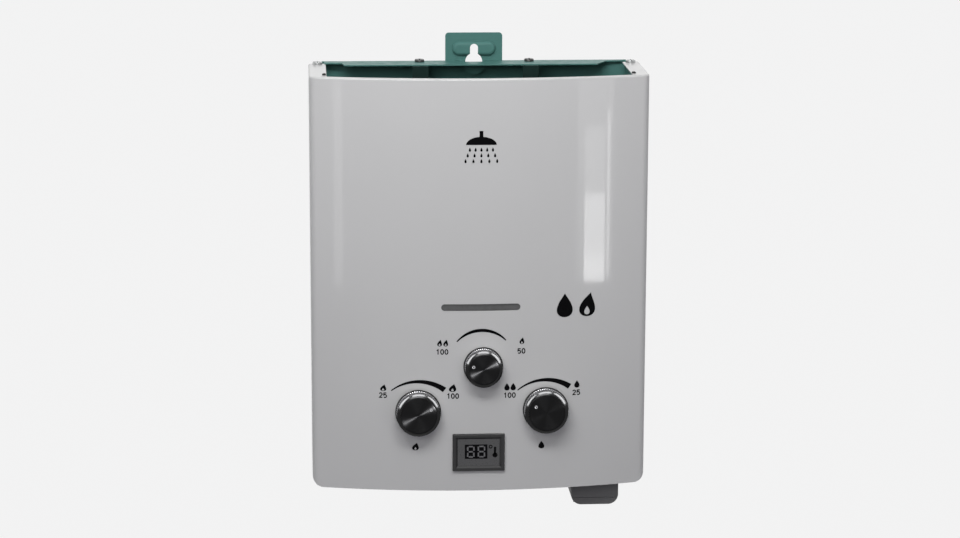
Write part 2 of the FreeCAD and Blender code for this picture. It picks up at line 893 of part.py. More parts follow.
def node(name, solid):
    """Names a finished sub-part: its Label is also its file's name."""
    solid.Label = name
    parts[name] = solid
    return solid


# ---------------------------------------------------------------- cover

BOTH_SIDES = (("left", "-"), ("right", "+"))


def cover_form(name, inset, corner, z):
    """The cover's plan, drawn in by `inset`, as a prism between two heights."""
    body = doc.addObject("PartDesign::Body", name)
    side = f"half_cover - ({inset})"
    arc_radius = f"bow_radius - ({inset})"
    shoulder = f"bow_centre - sqrt(({arc_radius}) * ({arc_radius}) - ({side}) * ({side}))"
    rear = f"cover_rear - ({inset})"
    plan = sketch(
        body,
        name + "_plan",
        "XY_Plane",
        [
            (f"-({side})", shoulder, arc_radius),
            (side, shoulder),
            (side, rear),
            (f"-({side})", rear),
        ],
        offset=z[0],
    )
    pad(body, name + "_pad", plan, f"({z[1]}) - ({z[0]})")
    soften(
        body,
        name + "_corners",
        corner,
        lambda edge: runs_along(edge, "z") and near(edge.BoundBox.YMax, shoulder),
    )
    return body


def rounded_foot(name, inset):
    """The cover's front view, drawn in by `inset`, with rounded lower corners."""
    side = f"half_cover - ({inset})"
    block = box(
        name + "_block",
        (f"-({side})", side),
        ("cover_front - overrun", "overrun"),
        (f"cover_foot + ({inset})", "overrun"),
    )
    foot = f"cover_foot + ({inset})"
    return round_edges(
        name,
        block,
        f"cover_foot_radius - ({inset})",
        lambda edge: runs_along(edge, "y") and near(edge.BoundBox.ZMax, foot),
    )


def cover_screw_holes(sign):
    """Each cover screw's end, axis, span and place on one side, through cover and lug."""
    top = ("lug_top - pan_gauge - overrun", "overrun")
    foot = ("cover_flange_front - pan_gauge - overrun", "cover_rear + overrun")
    return (
        ("top", "z", top, (f"{sign}cover_screw_x", "-cover_screw_from_wall")),
        ("foot", "y", foot, (f"{sign}foot_screw_x", "foot_screw_z")),
    )


def make_front_cover():
    outside = common(
        "cover_outside",
        [
            cover_form("cover_plan", "0", "cover_corner_radius", ("cover_foot", "0")),
            rounded_foot("cover_sides", "0"),
        ],
    )
    shaped = round_edges(
        "cover_shaped",
        outside,
        "cover_edge_radius",
        lambda edge: flat_at("z", "0")(edge) and not near(edge.BoundBox.YMax, "cover_rear"),
    )
    inside = common(
        "cover_hollow",
        [
            cover_form(
                "cover_hollow_plan",
                "cover_gauge",
                "cover_corner_radius - cover_gauge",
                ("lug_foot", "lug_top"),
            ),
            rounded_foot("cover_hollow_sides", "cover_gauge"),
        ],
    )
    above_sheet = ("lug_top - overrun", "overrun")
    top_window = common(
        "cover_top_window",
        [
            cover_form("cover_hem_plan", "cover_hem", "cover_window_corner", above_sheet),
            box(
                "cover_top_limit",
                ("-half_cover + cover_top_flange", "half_cover - cover_top_flange"),
                ("cover_front", "cover_rear + overrun"),
                above_sheet,
            ),
        ],
    )
    top_rear_window = box(
        "cover_top_rear_window",
        ("-half_cover + cover_top_flange", "half_cover - cover_top_flange"),
        ("cover_rear - cover_hem - overrun", "cover_rear + overrun"),
        above_sheet,
    )
    rear_window = box(
        "cover_rear_window",
        ("-half_cover + cover_gauge + cover_rear_flange", "half_cover - cover_gauge - cover_rear_flange"),
        ("cover_flange_front - overrun", "cover_rear + overrun"),
        ("cover_foot - overrun", "overrun"),
    )
    below_sheet = ("cover_foot - overrun", "lug_foot + overrun")
    foot_window = cover_form(
        "cover_foot_window",
        "cover_foot_flange",
        "cover_window_corner",
        below_sheet,
    )
    foot_rear_window = box(
        "cover_foot_rear_window",
        ("-half_cover + cover_foot_flange", "half_cover - cover_foot_flange"),
        ("cover_rear - cover_foot_flange - overrun", "cover_rear + overrun"),
        below_sheet,
    )
    through = ("cover_front - overrun", "-cover_side_depth")
    slot = stadium("cover_slot", "slot_length", "slot_width", "0", "slot_z", through)
    spindle_holes = [
        rod(f"cover_{knob}_hole", "spindle_hole_radius", "y", through, (f"{knob}_x", f"{knob}_z"))
        for knob in ("season", "gas", "water")
    ]
    display_hole = box(
        "cover_display_hole",
        (
            "display_x - neck_half_width - hole_clearance",
            "display_x + neck_half_width + hole_clearance",
        ),
        through,
        (
            "display_z - neck_half_height - hole_clearance",
            "display_z + neck_half_height + hole_clearance",
        ),
    )
    screw_holes = [
        rod(
            f"cover_{end}_hole_{side}",
            "screw_radius + hole_clearance",
            axis,
            span,
            spot,
        )
        for side, sign in BOTH_SIDES
        for end, axis, span, spot in cover_screw_holes(sign)
    ]
    peg_holes = [
        rod(
            f"cover_peg_hole_{side}",
            "cover_peg_hole_radius",
            "z",
            above_sheet,
            (f"{sign}(half_cover - cover_peg_inset)", "-cover_side_depth + cover_peg_from_front"),
        )
        for side, sign in BOTH_SIDES
    ]
    windows = [inside, top_window, top_rear_window, rear_window, foot_window, foot_rear_window]
    openings = [slot, display_hole] + spindle_holes + screw_holes + peg_holes
    return node("front_cover", cut("front_cover", shaped, windows + openings))


# ---------------------------------------------------------------- pan and bracket


def make_back_pan():
    thickness = ("pan_front", "pan_rear")
    panel = box("pan_panel", ("-half_pan", "half_pan"), thickness, ("pan_foot", "pan_rise"))
    rounded = round_edges(
        "pan_rounded",
        panel,
        "pan_lip_corner",
        lambda edge: runs_along(edge, "y") and near(edge.BoundBox.ZMax, "pan_foot"),
    )
    flange_body = doc.addObject("PartDesign::Body", "pan_flange")
    flange_plan = sketch(
        flange_body,
        "pan_flange_plan",
        "XY_Plane",
        [
            ("-pan_flange_end", "pan_front - pan_notch_left_depth"),
            ("pan_notch_left_x", "pan_front - pan_notch_left_depth"),
            ("pan_notch_left_x + pan_notch_step", "pan_front - pan_flange_depth"),
            ("pan_notch_right_x", "pan_front - pan_flange_depth"),
            ("pan_notch_right_x + pan_notch_slope", "pan_front - pan_notch_right_depth"),
            ("pan_flange_end", "pan_front - pan_notch_right_depth + pan_notch_step"),
            ("pan_flange_end", "pan_front + pan_gauge / 2"),
            ("-pan_flange_end", "pan_front + pan_gauge / 2"),
        ],
        offset="pan_top",
    )
    pad(flange_body, "pan_flange_pad", flange_plan, "pan_gauge")
    # a pressed pocket leaves room for a screw head in front of the keyhole
    pocket_half = "(keyhole_room + pan_gauge)"
    pocket_depth = ("pan_front - keyhole_room_depth - pan_gauge", "pan_front")
    pocket = common(
        "pan_pocket",
        [
            rod("pan_pocket_form", pocket_half, "y", pocket_depth, ("0", "0")),
            box(
                "pan_pocket_limit",
                (f"-{pocket_half}", pocket_half),
                pocket_depth,
                (f"-{pocket_half}", "pan_rise"),
            ),
        ],
    )
    solids = [rounded, flange_body, pocket]
    for side, sign in BOTH_SIDES:
        wall = sorted_span(f"{sign}half_pan", f"{sign}pan_inside")
        lug = sorted_span(f"{sign}half_pan", f"{sign}(half_cover - cover_gauge - part_gap)")
        lug_depth = ("-cover_screw_from_wall - pan_lug_depth / 2", "cover_flange_front")
        solids.append(
            box(f"pan_wall_{side}", wall, ("pan_side_front", "pan_front"), ("lug_foot", "lug_top"))
        )
        solids.append(
            box(f"pan_top_lug_{side}", lug, lug_depth, ("lug_top - pan_gauge", "lug_top"))
        )
        solids.append(
            box(
                f"pan_foot_lug_{side}",
                lug,
                ("cover_flange_front - pan_gauge", "cover_flange_front"),
                ("foot_screw_z - pan_lug_depth / 2", "foot_screw_z + pan_lug_depth / 2"),
            )
        )
    sheet = fuse("pan_sheet", solids)
    through = ("pan_front - overrun", "pan_rear + overrun")
    through_flange = ("pan_top - overrun", "pan_rise + overrun")
    head_depth = ("pan_front - keyhole_room_depth", "pan_rear + overrun")
    holes = [
        rod("pan_keyhole_room", "keyhole_room", "y", head_depth, ("0", "0")),
        box("pan_flange_room", ("-keyhole_room", "keyhole_room"), head_depth, through_flange),
    ]
    for side, sign in BOTH_SIDES:
        holes.append(
            rod(
                f"pan_lower_hole_{side}",
                "lower_hole_radius",
                "y",
                through,
                (f"{sign}lower_hole_spacing / 2", "pan_foot + lower_hole_rise"),
            )
        )
        holes.append(
            rod(
                f"pan_flange_hole_{side}",
                "screw_radius + hole_clearance",
                "z",
                through_flange,
                (f"{sign}flange_screw_x", "flange_screw_y"),
            )
        )
        for end, axis, span, spot in cover_screw_holes(sign):
            holes.append(
                rod(f"pan_{end}_lug_hole_{side}", "screw_radius + hole_clearance", axis, span, spot)
            )
    for index, (x, z) in enumerate(rivet_places()):
        holes.append(
            rod(
                f"pan_rivet_hole_{index}",
                "rivet_radius + running_clearance",
                "y",
                through,
                (x, z),
            )
        )
    return node("back_pan", cut("back_pan", sheet, holes))


def rivet_places():
    """The bracket's four rivets, as X and Z expressions."""
    return [
        (f"{sign}rivet_spacing_across / 2", f"-rivet_top_drop - {row} * rivet_spacing_down")
        for _, sign in BOTH_SIDES
        for row in (0, 1)
    ]


def make_bracket():
    body = doc.addObject("PartDesign::Body", "bracket_plate")
    half = "bracket_width / 2"
    outline = sketch(
        body,
        "bracket_outline",
        "XZ_Plane",
        [
            (f"-{half}", "-bracket_drop"),
            (half, "-bracket_drop"),
            (half, "bracket_top"),
            (f"-{half}", "bracket_top"),
        ],
    )
    pad(body, "bracket_pad", outline, "bracket_gauge")
    soften(
        body,
        "bracket_corners",
        "bracket_corner",
        lambda edge: runs_along(edge, "y"),
    )
    swelling = stadium(
        "bracket_swelling",
        "emboss_length",
        "emboss_height",
        "0",
        "emboss_rise",
        ("-bracket_gauge - emboss_depth", "-bracket_gauge / 2"),
    )
    swelling_soft = round_edges(
        "bracket_swelling_soft",
        swelling,
        "emboss_depth - emboss_flat",
        flat_at("y", "-bracket_gauge - emboss_depth"),
    )
    # the swelling stops short of the keyhole, so the keyhole's wall is one sheet thick
    around_keyhole = rod(
        "bracket_swelling_stop",
        "keyhole_radius + emboss_setback",
        "y",
        ("-bracket_gauge - emboss_depth - overrun", "-bracket_gauge"),
        ("0", "0"),
    )
    hollow = stadium(
        "bracket_hollow",
        "emboss_length - 2 * bracket_gauge",
        "emboss_height - 2 * bracket_gauge",
        "0",
        "emboss_rise",
        ("-emboss_depth", "overrun"),
    )
    through = ("-bracket_gauge - emboss_depth - overrun", "overrun")
    entry = rod("keyhole_entry", "keyhole_radius", "y", through, ("0", "0"))
    slot_half = "keyhole_slot_width / 2"
    slot = box("keyhole_slot", (f"-{slot_half}", slot_half), through, ("0", "keyhole_slot_rise"))
    slot_end = rod("keyhole_slot_end", slot_half, "y", through, ("0", "keyhole_slot_rise"))
    rivet_holes = [
        rod(f"bracket_rivet_hole_{index}", "rivet_radius + running_clearance", "y", through, place_of)
        for index, place_of in enumerate(rivet_places())
    ]
    blank = fuse("bracket_blank", [body, swelling_soft])
    openings = [hollow, around_keyhole, entry, slot, slot_end]
    node("hanging_bracket", cut("hanging_bracket", blank, openings + rivet_holes))
    rivets = []
    for index, place_of in enumerate(rivet_places()):
        head = rod(
            f"rivet_head_{index}",
            "rivet_head_radius",
            "y",
            ("pan_front - rivet_head_height", "pan_front"),
            place_of,
        )
        shank = rod(f"rivet_shank_{index}", "rivet_radius", "y", ("pan_front", "0"), place_of)
        rivets.append(fuse(f"rivet_{index}", [head, shank]))
    node("bracket_rivets", group("bracket_rivets", rivets))


CONNECTORS = (("hot_outlet", "hot_outlet_x"), ("gas_inlet", "gas_x"), ("cold_inlet", "cold_inlet_x"))


def make_floor_plate():
    depth = ("floor_front", "pan_front")
    solids = [box("floor_sheet", ("-pan_inside", "pan_inside"), depth, ("floor_under", "floor_top"))]
    through = ("floor_under - overrun", "floor_top + overrun")
    for side, sign in BOTH_SIDES:
        wall = sorted_span(f"{sign}pan_inside", f"{sign}(pan_inside - floor_gauge)")
        solids.append(
            box(
                f"floor_flange_{side}",
                wall,
                ("pan_side_front + floor_flange_setback", "pan_front"),
                ("floor_under", "floor_top + floor_flange"),
            )
        )
    holes = [
        rod(
            f"floor_{name}_hole",
            "connector_radius + hole_clearance",
            "z",
            through,
            (x, "linkage_y"),
        )
        for name, x in CONNECTORS
    ]
    holes.append(
        rod(
            "floor_drain_hole",
            "drain_plug_radius + drain_hole_clearance",
            "z",
            through,
            ("drain_x", "linkage_y"),
        )
    )
    holes.append(
        box(
            "floor_battery_hole",
            ("battery_left - part_gap", "battery_right + part_gap"),
            ("battery_front - part_gap", "battery_rear + part_gap"),
            through,
        )
    )
    for index in range(int(number("air_slot_count"))):
        rear = f"pan_front - air_slot_from_pan - {index} * air_slot_pitch"
        holes.append(
            box(
                f"floor_air_slot_{index}",
                ("air_slot_x - air_slot_length / 2", "air_slot_x + air_slot_length / 2"),
                (f"{rear} - air_slot_width", rear),
                through,
            )
        )
    node("bottom_plate", cut("bottom_plate", fuse("floor_blank", solids), holes))


def make_screws():
    """Six identical screws: two at the cover's top, two at its foot and two in the pan's flange."""
    screws = []
    for side, sign in BOTH_SIDES:
        seats = (
            ("top", "z", "0", (f"{sign}cover_screw_x", "-cover_screw_from_wall")),
            ("foot", "y", "cover_rear", (f"{sign}foot_screw_x", "foot_screw_z")),
            (
                "flange",
                "z",
                "pan_rise",
                (f"{sign}flange_screw_x", "flange_screw_y"),
            ),
        )
        for end, axis, seat, spot in seats:
            screws.append(
                pan_head_screw(
                    f"{end}_screw_{side}",
                    axis,
                    1,
                    seat,
                    spot,
                    "screw_radius",
                    "screw_head_radius",
                    "screw_length",
                )
            )
    node("sheet_screws", group("sheet_screws", screws))


# ---------------------------------------------------------------- window and display


def make_window():
    node(
        "viewing_window",
        box(
            "viewing_window",
            ("-window_half", "window_half"),
            ("window_front", "window_rear"),
            ("slot_z - window_half_height", "slot_z + window_half_height"),
        ),
    )
    frame = box(
        "retainer_sheet",
        ("-window_half - retainer_margin", "window_half + retainer_margin"),
        ("window_rear", "window_rear + sheet_gauge"),
        (
            "slot_z - window_half_height - retainer_margin",
            "slot_z + window_half_height + retainer_margin",
        ),
    )
    opening = stadium(
        "retainer_opening",
        "slot_length",
        "slot_width",
        "0",
        "slot_z",
        ("window_rear - overrun", "window_rear + sheet_gauge + overrun"),
    )
    node("window_retainer", cut("window_retainer", frame, [opening]))


def around(x, half_width, z, half_height):
    """Limits of a rectangle in the front view."""
    across = (f"{x} - ({half_width})", f"{x} + ({half_width})")
    upright = (f"{z} - ({half_height})", f"{z} + ({half_height})")
    return across, upright


def front_block(name, half_width, half_height, span):
    x, z = around("display_x", half_width, "display_z", half_height)
    return box(name, x, span, z)


def make_display():
    rim = front_block("bezel_rim", "bezel_width / 2", "bezel_height / 2", ("bezel_front", "bezel_back"))
    soft_rim = round_edges(
        "bezel_soft_rim",
        rim,
        "bezel_proud - bezel_rim_flat",
        lambda edge: flat_at("y", "bezel_front")(edge) or runs_along(edge, "y"),
    )
    neck_depth = ("bezel_back", "bezel_rear")
    neck = front_block("bezel_neck", "neck_half_width", "neck_half_height", neck_depth)
    window = front_block(
        "bezel_window",
        "lens_half_width",
        "lens_half_height",
        ("bezel_front - overrun", "bezel_rear + overrun"),
    )
    blank = fuse("bezel_blank", [soft_rim, neck])
    # the inner edge of the frame slopes down to the lens
    slope = doc.addObject("Part::Wedge", "bezel_window_slope")
    slope.Placement = FreeCAD.Placement(Vector(), FreeCAD.Rotation())
    wide, high = "(lens_half_width + bezel_slope)", "(lens_half_height + bezel_slope)"
    limits = {
        "Xmin": f"-{wide}",
        "Xmax": wide,
        "Zmin": f"-{high}",
        "Zmax": high,
        "Ymin": "0",
        "Ymax": "bezel_slope",
        "X2min": "-lens_half_width",
        "X2max": "lens_half_width",
        "Z2min": "-lens_half_height",
        "Z2max": "lens_half_height",
    }
    for limit, value in limits.items():
        slope.setExpression(limit, bound(value))
    slope.setExpression("Placement.Base.x", bound("display_x"))
    slope.setExpression("Placement.Base.y", bound("bezel_front - cut_shim"))
    slope.setExpression("Placement.Base.z", bound("display_z"))
    node("display_bezel", cut("display_bezel", blank, [window, slope]))
    node(
        "display_lens",
        front_block(
            "display_lens",
            "lens_half_width - running_clearance",
            "lens_half_height - running_clearance",
            ("lens_front", "lens_front + lens_gauge"),
        ),
    )
    lamp = front_block(
        "module_face",
        "lens_half_width - part_gap",
        "lens_half_height - part_gap",
        ("lens_front + lens_gauge", "bezel_rear"),
    )
    case_depth = ("bezel_rear", "bezel_rear + module_depth")
    case = front_block("module_case", "module_width / 2", "module_height / 2", case_depth)
    node("display_module", fuse("display_module", [lamp, case]))


# ---------------------------------------------------------------- knobs

KNOBS = {
    # name: radius, rear and front faces, and the front of the boss that holds its spindle
    "season": ("season_radius", "season_rear", "season_front", "season_boss_front"),
    "gas": ("dial_radius", "dial_rear", "dial_front", "valve_boss_front"),
    "water": ("dial_radius", "dial_rear", "dial_front", "valve_boss_front"),
}


def make_knob(name):
    x, z = f"{name}_x", f"{name}_z"
    radius, rear, front, boss = KNOBS[name]
    face_radius = f"{radius} - knob_bevel - knob_lip"
    back_of_face = f"{front} + knob_face_recess"
    face_front = f"{back_of_face} - knob_face_gauge"
    web = f"{back_of_face} + knob_web"
    body = doc.addObject("PartDesign::Body", f"{name}_knob_blank")
    profile = sketch(
        body,
        f"{name}_knob_profile",
        "XY_Plane",
        [
            ("0", back_of_face),
            (face_radius, back_of_face),
            (face_radius, front),
            (f"{radius} - knob_bevel", front),
            (radius, f"{front} + knob_bevel"),
            (radius, rear),
            (f"{radius} - knob_wall", rear),
            (f"{radius} - knob_wall", web),
            ("knob_hub_radius", web),
            ("knob_hub_radius", f"{rear} - knob_hub_setback"),
            ("0", f"{rear} - knob_hub_setback"),
        ],
    )
    turn(body, f"{name}_knob_turning", profile)
    body.setExpression("Placement.Base.x", bound(x))
    body.setExpression("Placement.Base.z", bound(z))
    flutes = []
    start = f"{front} + knob_bevel + knob_flute_start"
    for index in range(int(number("knob_flute_count"))):
        angle = f"{index} * 360deg / dims.knob_flute_count"
        flute = doc.addObject("Part::Cylinder", f"{name}_flute_{index}")
        flute.setExpression("Radius", bound("knob_flute_radius"))
        flute.setExpression("Height", bound(f"({rear}) - knob_flute_end - ({start})"))
        flute.Placement = FreeCAD.Placement(Vector(), ALONG["y"])
        flute.setExpression("Placement.Base.x", bound(f"{x} + {radius} * cos(") + angle + ")")
        flute.setExpression("Placement.Base.y", bound(start))
        flute.setExpression("Placement.Base.z", bound(f"{z} + {radius} * sin(") + angle + ")")
        flutes.append(flute)
    bore_span = (f"{rear} - spindle_in_knob - spindle_end_gap", f"{rear} + overrun")
    bore = flatted_rod(f"{name}_knob_bore", "spindle_radius + running_clearance", bore_span, (x, z))
    node(f"{name}_knob", cut(f"{name}_knob", body, [bore] + flutes))
    disc = rod(
        f"{name}_disc",
        f"{face_radius} - running_clearance",
        "y",
        (face_front, back_of_face),
        (x, z),
    )
    dimple = rod(
        f"{name}_dimple",
        "dot_radius",
        "y",
        (f"{face_front} - overrun", f"{face_front} + dot_depth"),
        (f"{x} + {name}_dot_across", f"{z} + {name}_dot_up"),
    )
    node(f"{name}_knob_face", cut(f"{name}_knob_face", disc, [dimple]))
    flat_end = f"{rear} + spindle_flat_past"
    flatted = flatted_rod(
        f"{name}_spindle_end",
        "spindle_radius",
        (f"{rear} - spindle_in_knob", flat_end),
        (x, z),
    )
    shaft = rod(
        f"{name}_spindle_shaft",
        "spindle_radius",
        "y",
        (flat_end, f"{boss} + spindle_in_valve"),
        (x, z),
    )
    node(f"{name}_spindle", fuse(f"{name}_spindle", [flatted, shaft]))


def flatted_rod(name, radius, span, across):
    """A round bar with one flat on its upper side."""
    bar = rod(name + "_bar", radius, "y", span, across)
    keep = box(
        name + "_flat",
        (f"{across[0]} - 2 * spindle_radius", f"{across[0]} + 2 * spindle_radius"),
        span,
        (
            f"{across[1]} - 2 * spindle_radius",
            f"{across[1]} + spindle_flat + ({radius}) - spindle_radius",
        ),
    )
    return common(name, [bar, keep])


# ---------------------------------------------------------------- valves and linkage


def make_gas_valve():
    block = box(
        "gas_block",
        ("gas_valve_left", "gas_valve_right"),
        ("valve_front", "gas_valve_rear"),
        ("valve_foot", "valve_top"),
    )
    soft = round_edges("gas_block_soft", block, "valve_corner", lambda edge: runs_along(edge, "z"))
    boss_depth = ("valve_boss_front", "valve_front")
    boss = rod("gas_boss", "valve_boss_radius", "y", boss_depth, ("gas_x", "gas_z"))
    holes = [
        rod(
            "gas_spindle_bore",
            "spindle_radius + running_clearance",
            "y",
            ("valve_boss_front - overrun", "valve_bore_end"),
            ("gas_x", "gas_z"),
        ),
        rod(
            "gas_rod_bore",
            "rod_radius + running_clearance",
            "x",
            ("rod_bore_end", "gas_valve_right + overrun"),
            ("linkage_y", "linkage_z"),
        ),
        rod(
            "gas_inlet_way",
            "connector_bore",
            "z",
            ("valve_foot - overrun", "valve_foot + port_depth"),
            ("gas_x", "linkage_y"),
        ),
        rod(
            "gas_outlet_way",
            "gas_pipe_bore",
            "z",
            ("valve_top - port_depth", "valve_top + overrun"),
            ("gas_x", "gas_pipe_y"),
        ),
    ]
    node("gas_valve", cut("gas_valve", fuse("gas_casting", [soft, boss]), holes))
    coil = rod(
        "solenoid_coil",
        "solenoid_radius",
        "y",
        ("gas_valve_rear", "gas_valve_rear + solenoid_length"),
        ("solenoid_x", "linkage_z"),
    )
    nose = rod(
        "solenoid_nose_end",
        "solenoid_nose",
        "y",
        (
            "gas_valve_rear + solenoid_length",
            "gas_valve_rear + solenoid_length + solenoid_nose_length",
        ),
        ("solenoid_x", "linkage_z"),
    )
    node("gas_solenoid", fuse("gas_solenoid", [coil, nose]))
    node(
        "gas_pipe",
        pipe(
            "gas_pipe",
            [
                ("gas_x", "gas_pipe_y", "valve_top"),
                ("gas_x", "gas_pipe_y", "gas_pipe_z"),
                ("season_valve_left", "gas_pipe_y", "gas_pipe_z"),
            ],
            "gas_pipe_radius",
            "gas_pipe_bore",
            "bend_radius",
        ),
    )


def disc_screw_places():
    """Y and Z expressions of the screws round the water valve's disc."""
    count = int(number("disc_screw_count"))
    step = 2 * math.pi / count
    return [
        (
            f"linkage_y + disc_screw_circle * {math.cos(step * (index + 0.5)):.6f}",
            f"linkage_z + disc_screw_circle * {math.sin(step * (index + 0.5)):.6f}",
        )
        for index in range(count)
    ]


def make_water_valve():
    across = ("linkage_y", "linkage_z")
    block = box(
        "water_block",
        ("water_block_left", "water_block_right"),
        ("valve_front", "water_block_rear"),
        ("valve_foot", "valve_top"),
    )
    soft = round_edges("water_block_soft", block, "valve_corner", lambda edge: runs_along(edge, "z"))
    flange = rod("water_flange", "disc_radius", "x", ("disc_flange_left", "disc_flange_right"), across)
    neck = rod("water_neck", "disc_neck_radius", "x", ("disc_flange_right", "water_block_left"), across)
    boss_depth = ("valve_boss_front", "valve_front")
    boss = rod("water_boss", "valve_boss_radius", "y", boss_depth, ("water_x", "water_z"))
    drain_boss = rod(
        "drain_boss",
        "drain_boss_radius",
        "z",
        ("drain_boss_foot", "linkage_z - disc_cavity_radius"),
        ("drain_x", "linkage_y"),
    )
    holes = [
        rod(
            "water_cavity",
            "disc_cavity_radius",
            "x",
            ("disc_flange_left - overrun", "disc_flange_left + disc_cavity_depth"),
            across,
        ),
        rod(
            "water_spindle_bore",
            "spindle_radius + running_clearance",
            "y",
            ("valve_boss_front - overrun", "valve_bore_end"),
            ("water_x", "water_z"),
        ),
        rod(
            "water_inlet_way",
            "connector_bore",
            "z",
            ("valve_foot - overrun", "valve_foot + port_depth"),
            ("cold_inlet_x", "linkage_y"),
        ),
        rod(
            "water_outlet_way",
            "tube_bore",
            "z",
            ("valve_top - port_depth", "valve_top + overrun"),
            ("cold_pipe_start", "linkage_y"),
        ),
        rod(
            "water_drain_way",
            "drain_plug_radius + running_clearance",
            "z",
            ("drain_boss_foot - overrun", "drain_boss_foot + drain_plug_depth + drain_end_gap"),
            ("drain_x", "linkage_y"),
        ),
    ]
    for index, spot in enumerate(disc_screw_places()):
        holes.append(
            rod(
                f"water_screw_hole_{index}",
                "small_screw_radius + running_clearance",
                "x",
                ("disc_flange_left - overrun", "disc_flange_right - disc_screw_floor"),
                spot,
            )
        )
    casting = fuse("water_casting", [soft, flange, neck, boss, drain_boss])
    node("water_valve", cut("water_valve", casting, holes))

    shell = rod("disc_cover_shell", "disc_radius", "x", ("disc_cover_left", "disc_cover_right"), across)
    cover_boss = rod(
        "disc_cover_boss",
        "disc_boss_radius",
        "x",
        ("disc_cover_left - disc_boss_length", "disc_cover_left"),
        across,
    )
    cover_holes = [
        rod(
            "disc_cover_cavity",
            "disc_cavity_radius",
            "x",
            ("disc_cover_left + disc_cover_wall", "disc_cover_right + overrun"),
            across,
        ),
        rod(
            "disc_cover_bore",
            "rod_radius + running_clearance",
            "x",
            (
                "disc_cover_left - disc_boss_length - overrun",
                "disc_cover_left + disc_cover_wall + overrun",
            ),
            across,
        ),
    ]
    sheet_holes = []
    for index, spot in enumerate(disc_screw_places()):
        span = ("disc_cover_left - overrun", "disc_cover_right + overrun")
        cover_holes.append(
            rod(f"disc_cover_hole_{index}", "small_screw_radius + hole_clearance", "x", span, spot)
        )
        span = ("disc_cover_right - overrun", "disc_flange_left + overrun")
        sheet_holes.append(
            rod(f"diaphragm_hole_{index}", "small_screw_radius + hole_clearance", "x", span, spot)
        )
    cover_blank = fuse("disc_cover_blank", [shell, cover_boss])
    node("diaphragm_cover", cut("diaphragm_cover", cover_blank, cover_holes))
    sheet = rod("diaphragm_sheet", "disc_radius", "x", ("disc_cover_right", "disc_flange_left"), across)
    node("diaphragm", cut("diaphragm", sheet, sheet_holes))
    screws = [
        pan_head_screw(
            f"diaphragm_screw_{index}",
            "x",
            -1,
            "disc_cover_left",
            spot,
            "small_screw_radius",
            "small_screw_head",
            "disc_cover_thick + diaphragm_thick + disc_screw_bite",
        )
        for index, spot in enumerate(disc_screw_places())
    ]
    node("diaphragm_screws", group("diaphragm_screws", screws))

    stem = rod("rod_stem", "rod_radius", "x", ("rod_left", "rod_plate_right"), across)
    plate = rod(
        "rod_plate",
        "rod_plate_radius",
        "x",
        ("rod_plate_right - rod_plate_thick", "rod_plate_right"),
        across,
    )
    collar = rod(
        "rod_collar",
        "rod_collar_radius",
        "x",
        ("rod_collar_left", "rod_collar_left + rod_collar_thick"),
        across,
    )
    node("push_rod", fuse("push_rod", [stem, plate, collar]))


def make_switch():
    plate = box(
        "bridge_plate",
        ("gas_valve_right", "disc_cover_left"),
        ("bridge_y", "bridge_y + bridge_gauge"),
        ("bridge_bottom", "bridge_top"),
    )
    feet = [
        box(
            f"bridge_foot_{side}",
            span,
            ("bridge_y - bridge_foot_depth", "bridge_y + bridge_gauge"),
            ("bridge_bottom", "bridge_bottom + bridge_foot_height"),
        )
        for side, span in (
            ("left", ("gas_valve_right", "gas_valve_right + bridge_gauge")),
            ("right", ("disc_cover_left - bridge_gauge", "disc_cover_left")),
        )
    ]
    node("valve_bridge", fuse("valve_bridge", [plate] + feet))

    case = box(
        "switch_case",
        ("switch_left", "switch_left + switch_length"),
        ("switch_front", "bridge_y"),
        ("switch_foot", "switch_foot + switch_height"),
    )
    pivot = ("lever_x", "lever_pin_z")
    ears = [
        box(
            f"switch_ear_{side}",
            ("lever_x - switch_ear / 2", "lever_x + switch_ear / 2"),
            span,
            ("lever_pin_z - switch_ear / 2", "switch_foot"),
        )
        for side, span in (
            ("front", ("switch_front", "switch_front + switch_ear_gauge")),
            ("rear", ("bridge_y - switch_ear_gauge", "bridge_y")),
        )
    ]
    pin = rod("switch_pin", "lever_pin_radius", "y", ("switch_front", "bridge_y"), pivot)
    node("microswitch", fuse("microswitch", [case, pin] + ears))
    lever_span = ("lever_front", "lever_front + lever_width")
    strip = box(
        "lever_strip",
        ("lever_x - lever_gauge / 2", "lever_x + lever_gauge / 2"),
        lever_span,
        ("lever_pin_z - lever_reach", "lever_pin_z + lever_tail"),
    )
    barrel = rod("lever_barrel", "lever_barrel_radius", "y", lever_span, pivot)
    bore = rod(
        "lever_bore",
        "lever_pin_radius + running_clearance",
        "y",
        ("lever_front - overrun", "lever_front + lever_width + overrun"),
        pivot,
    )
    node("switch_lever", cut("switch_lever", fuse("lever_blank", [strip, barrel]), [bore]))


# ---------------------------------------------------------------- burner and heat exchanger


def bar_places():
    """X expressions of the burner bars' centres."""
    return [f"{index} * bar_pitch - bar_reach" for index in range(int(number("bar_count")))]


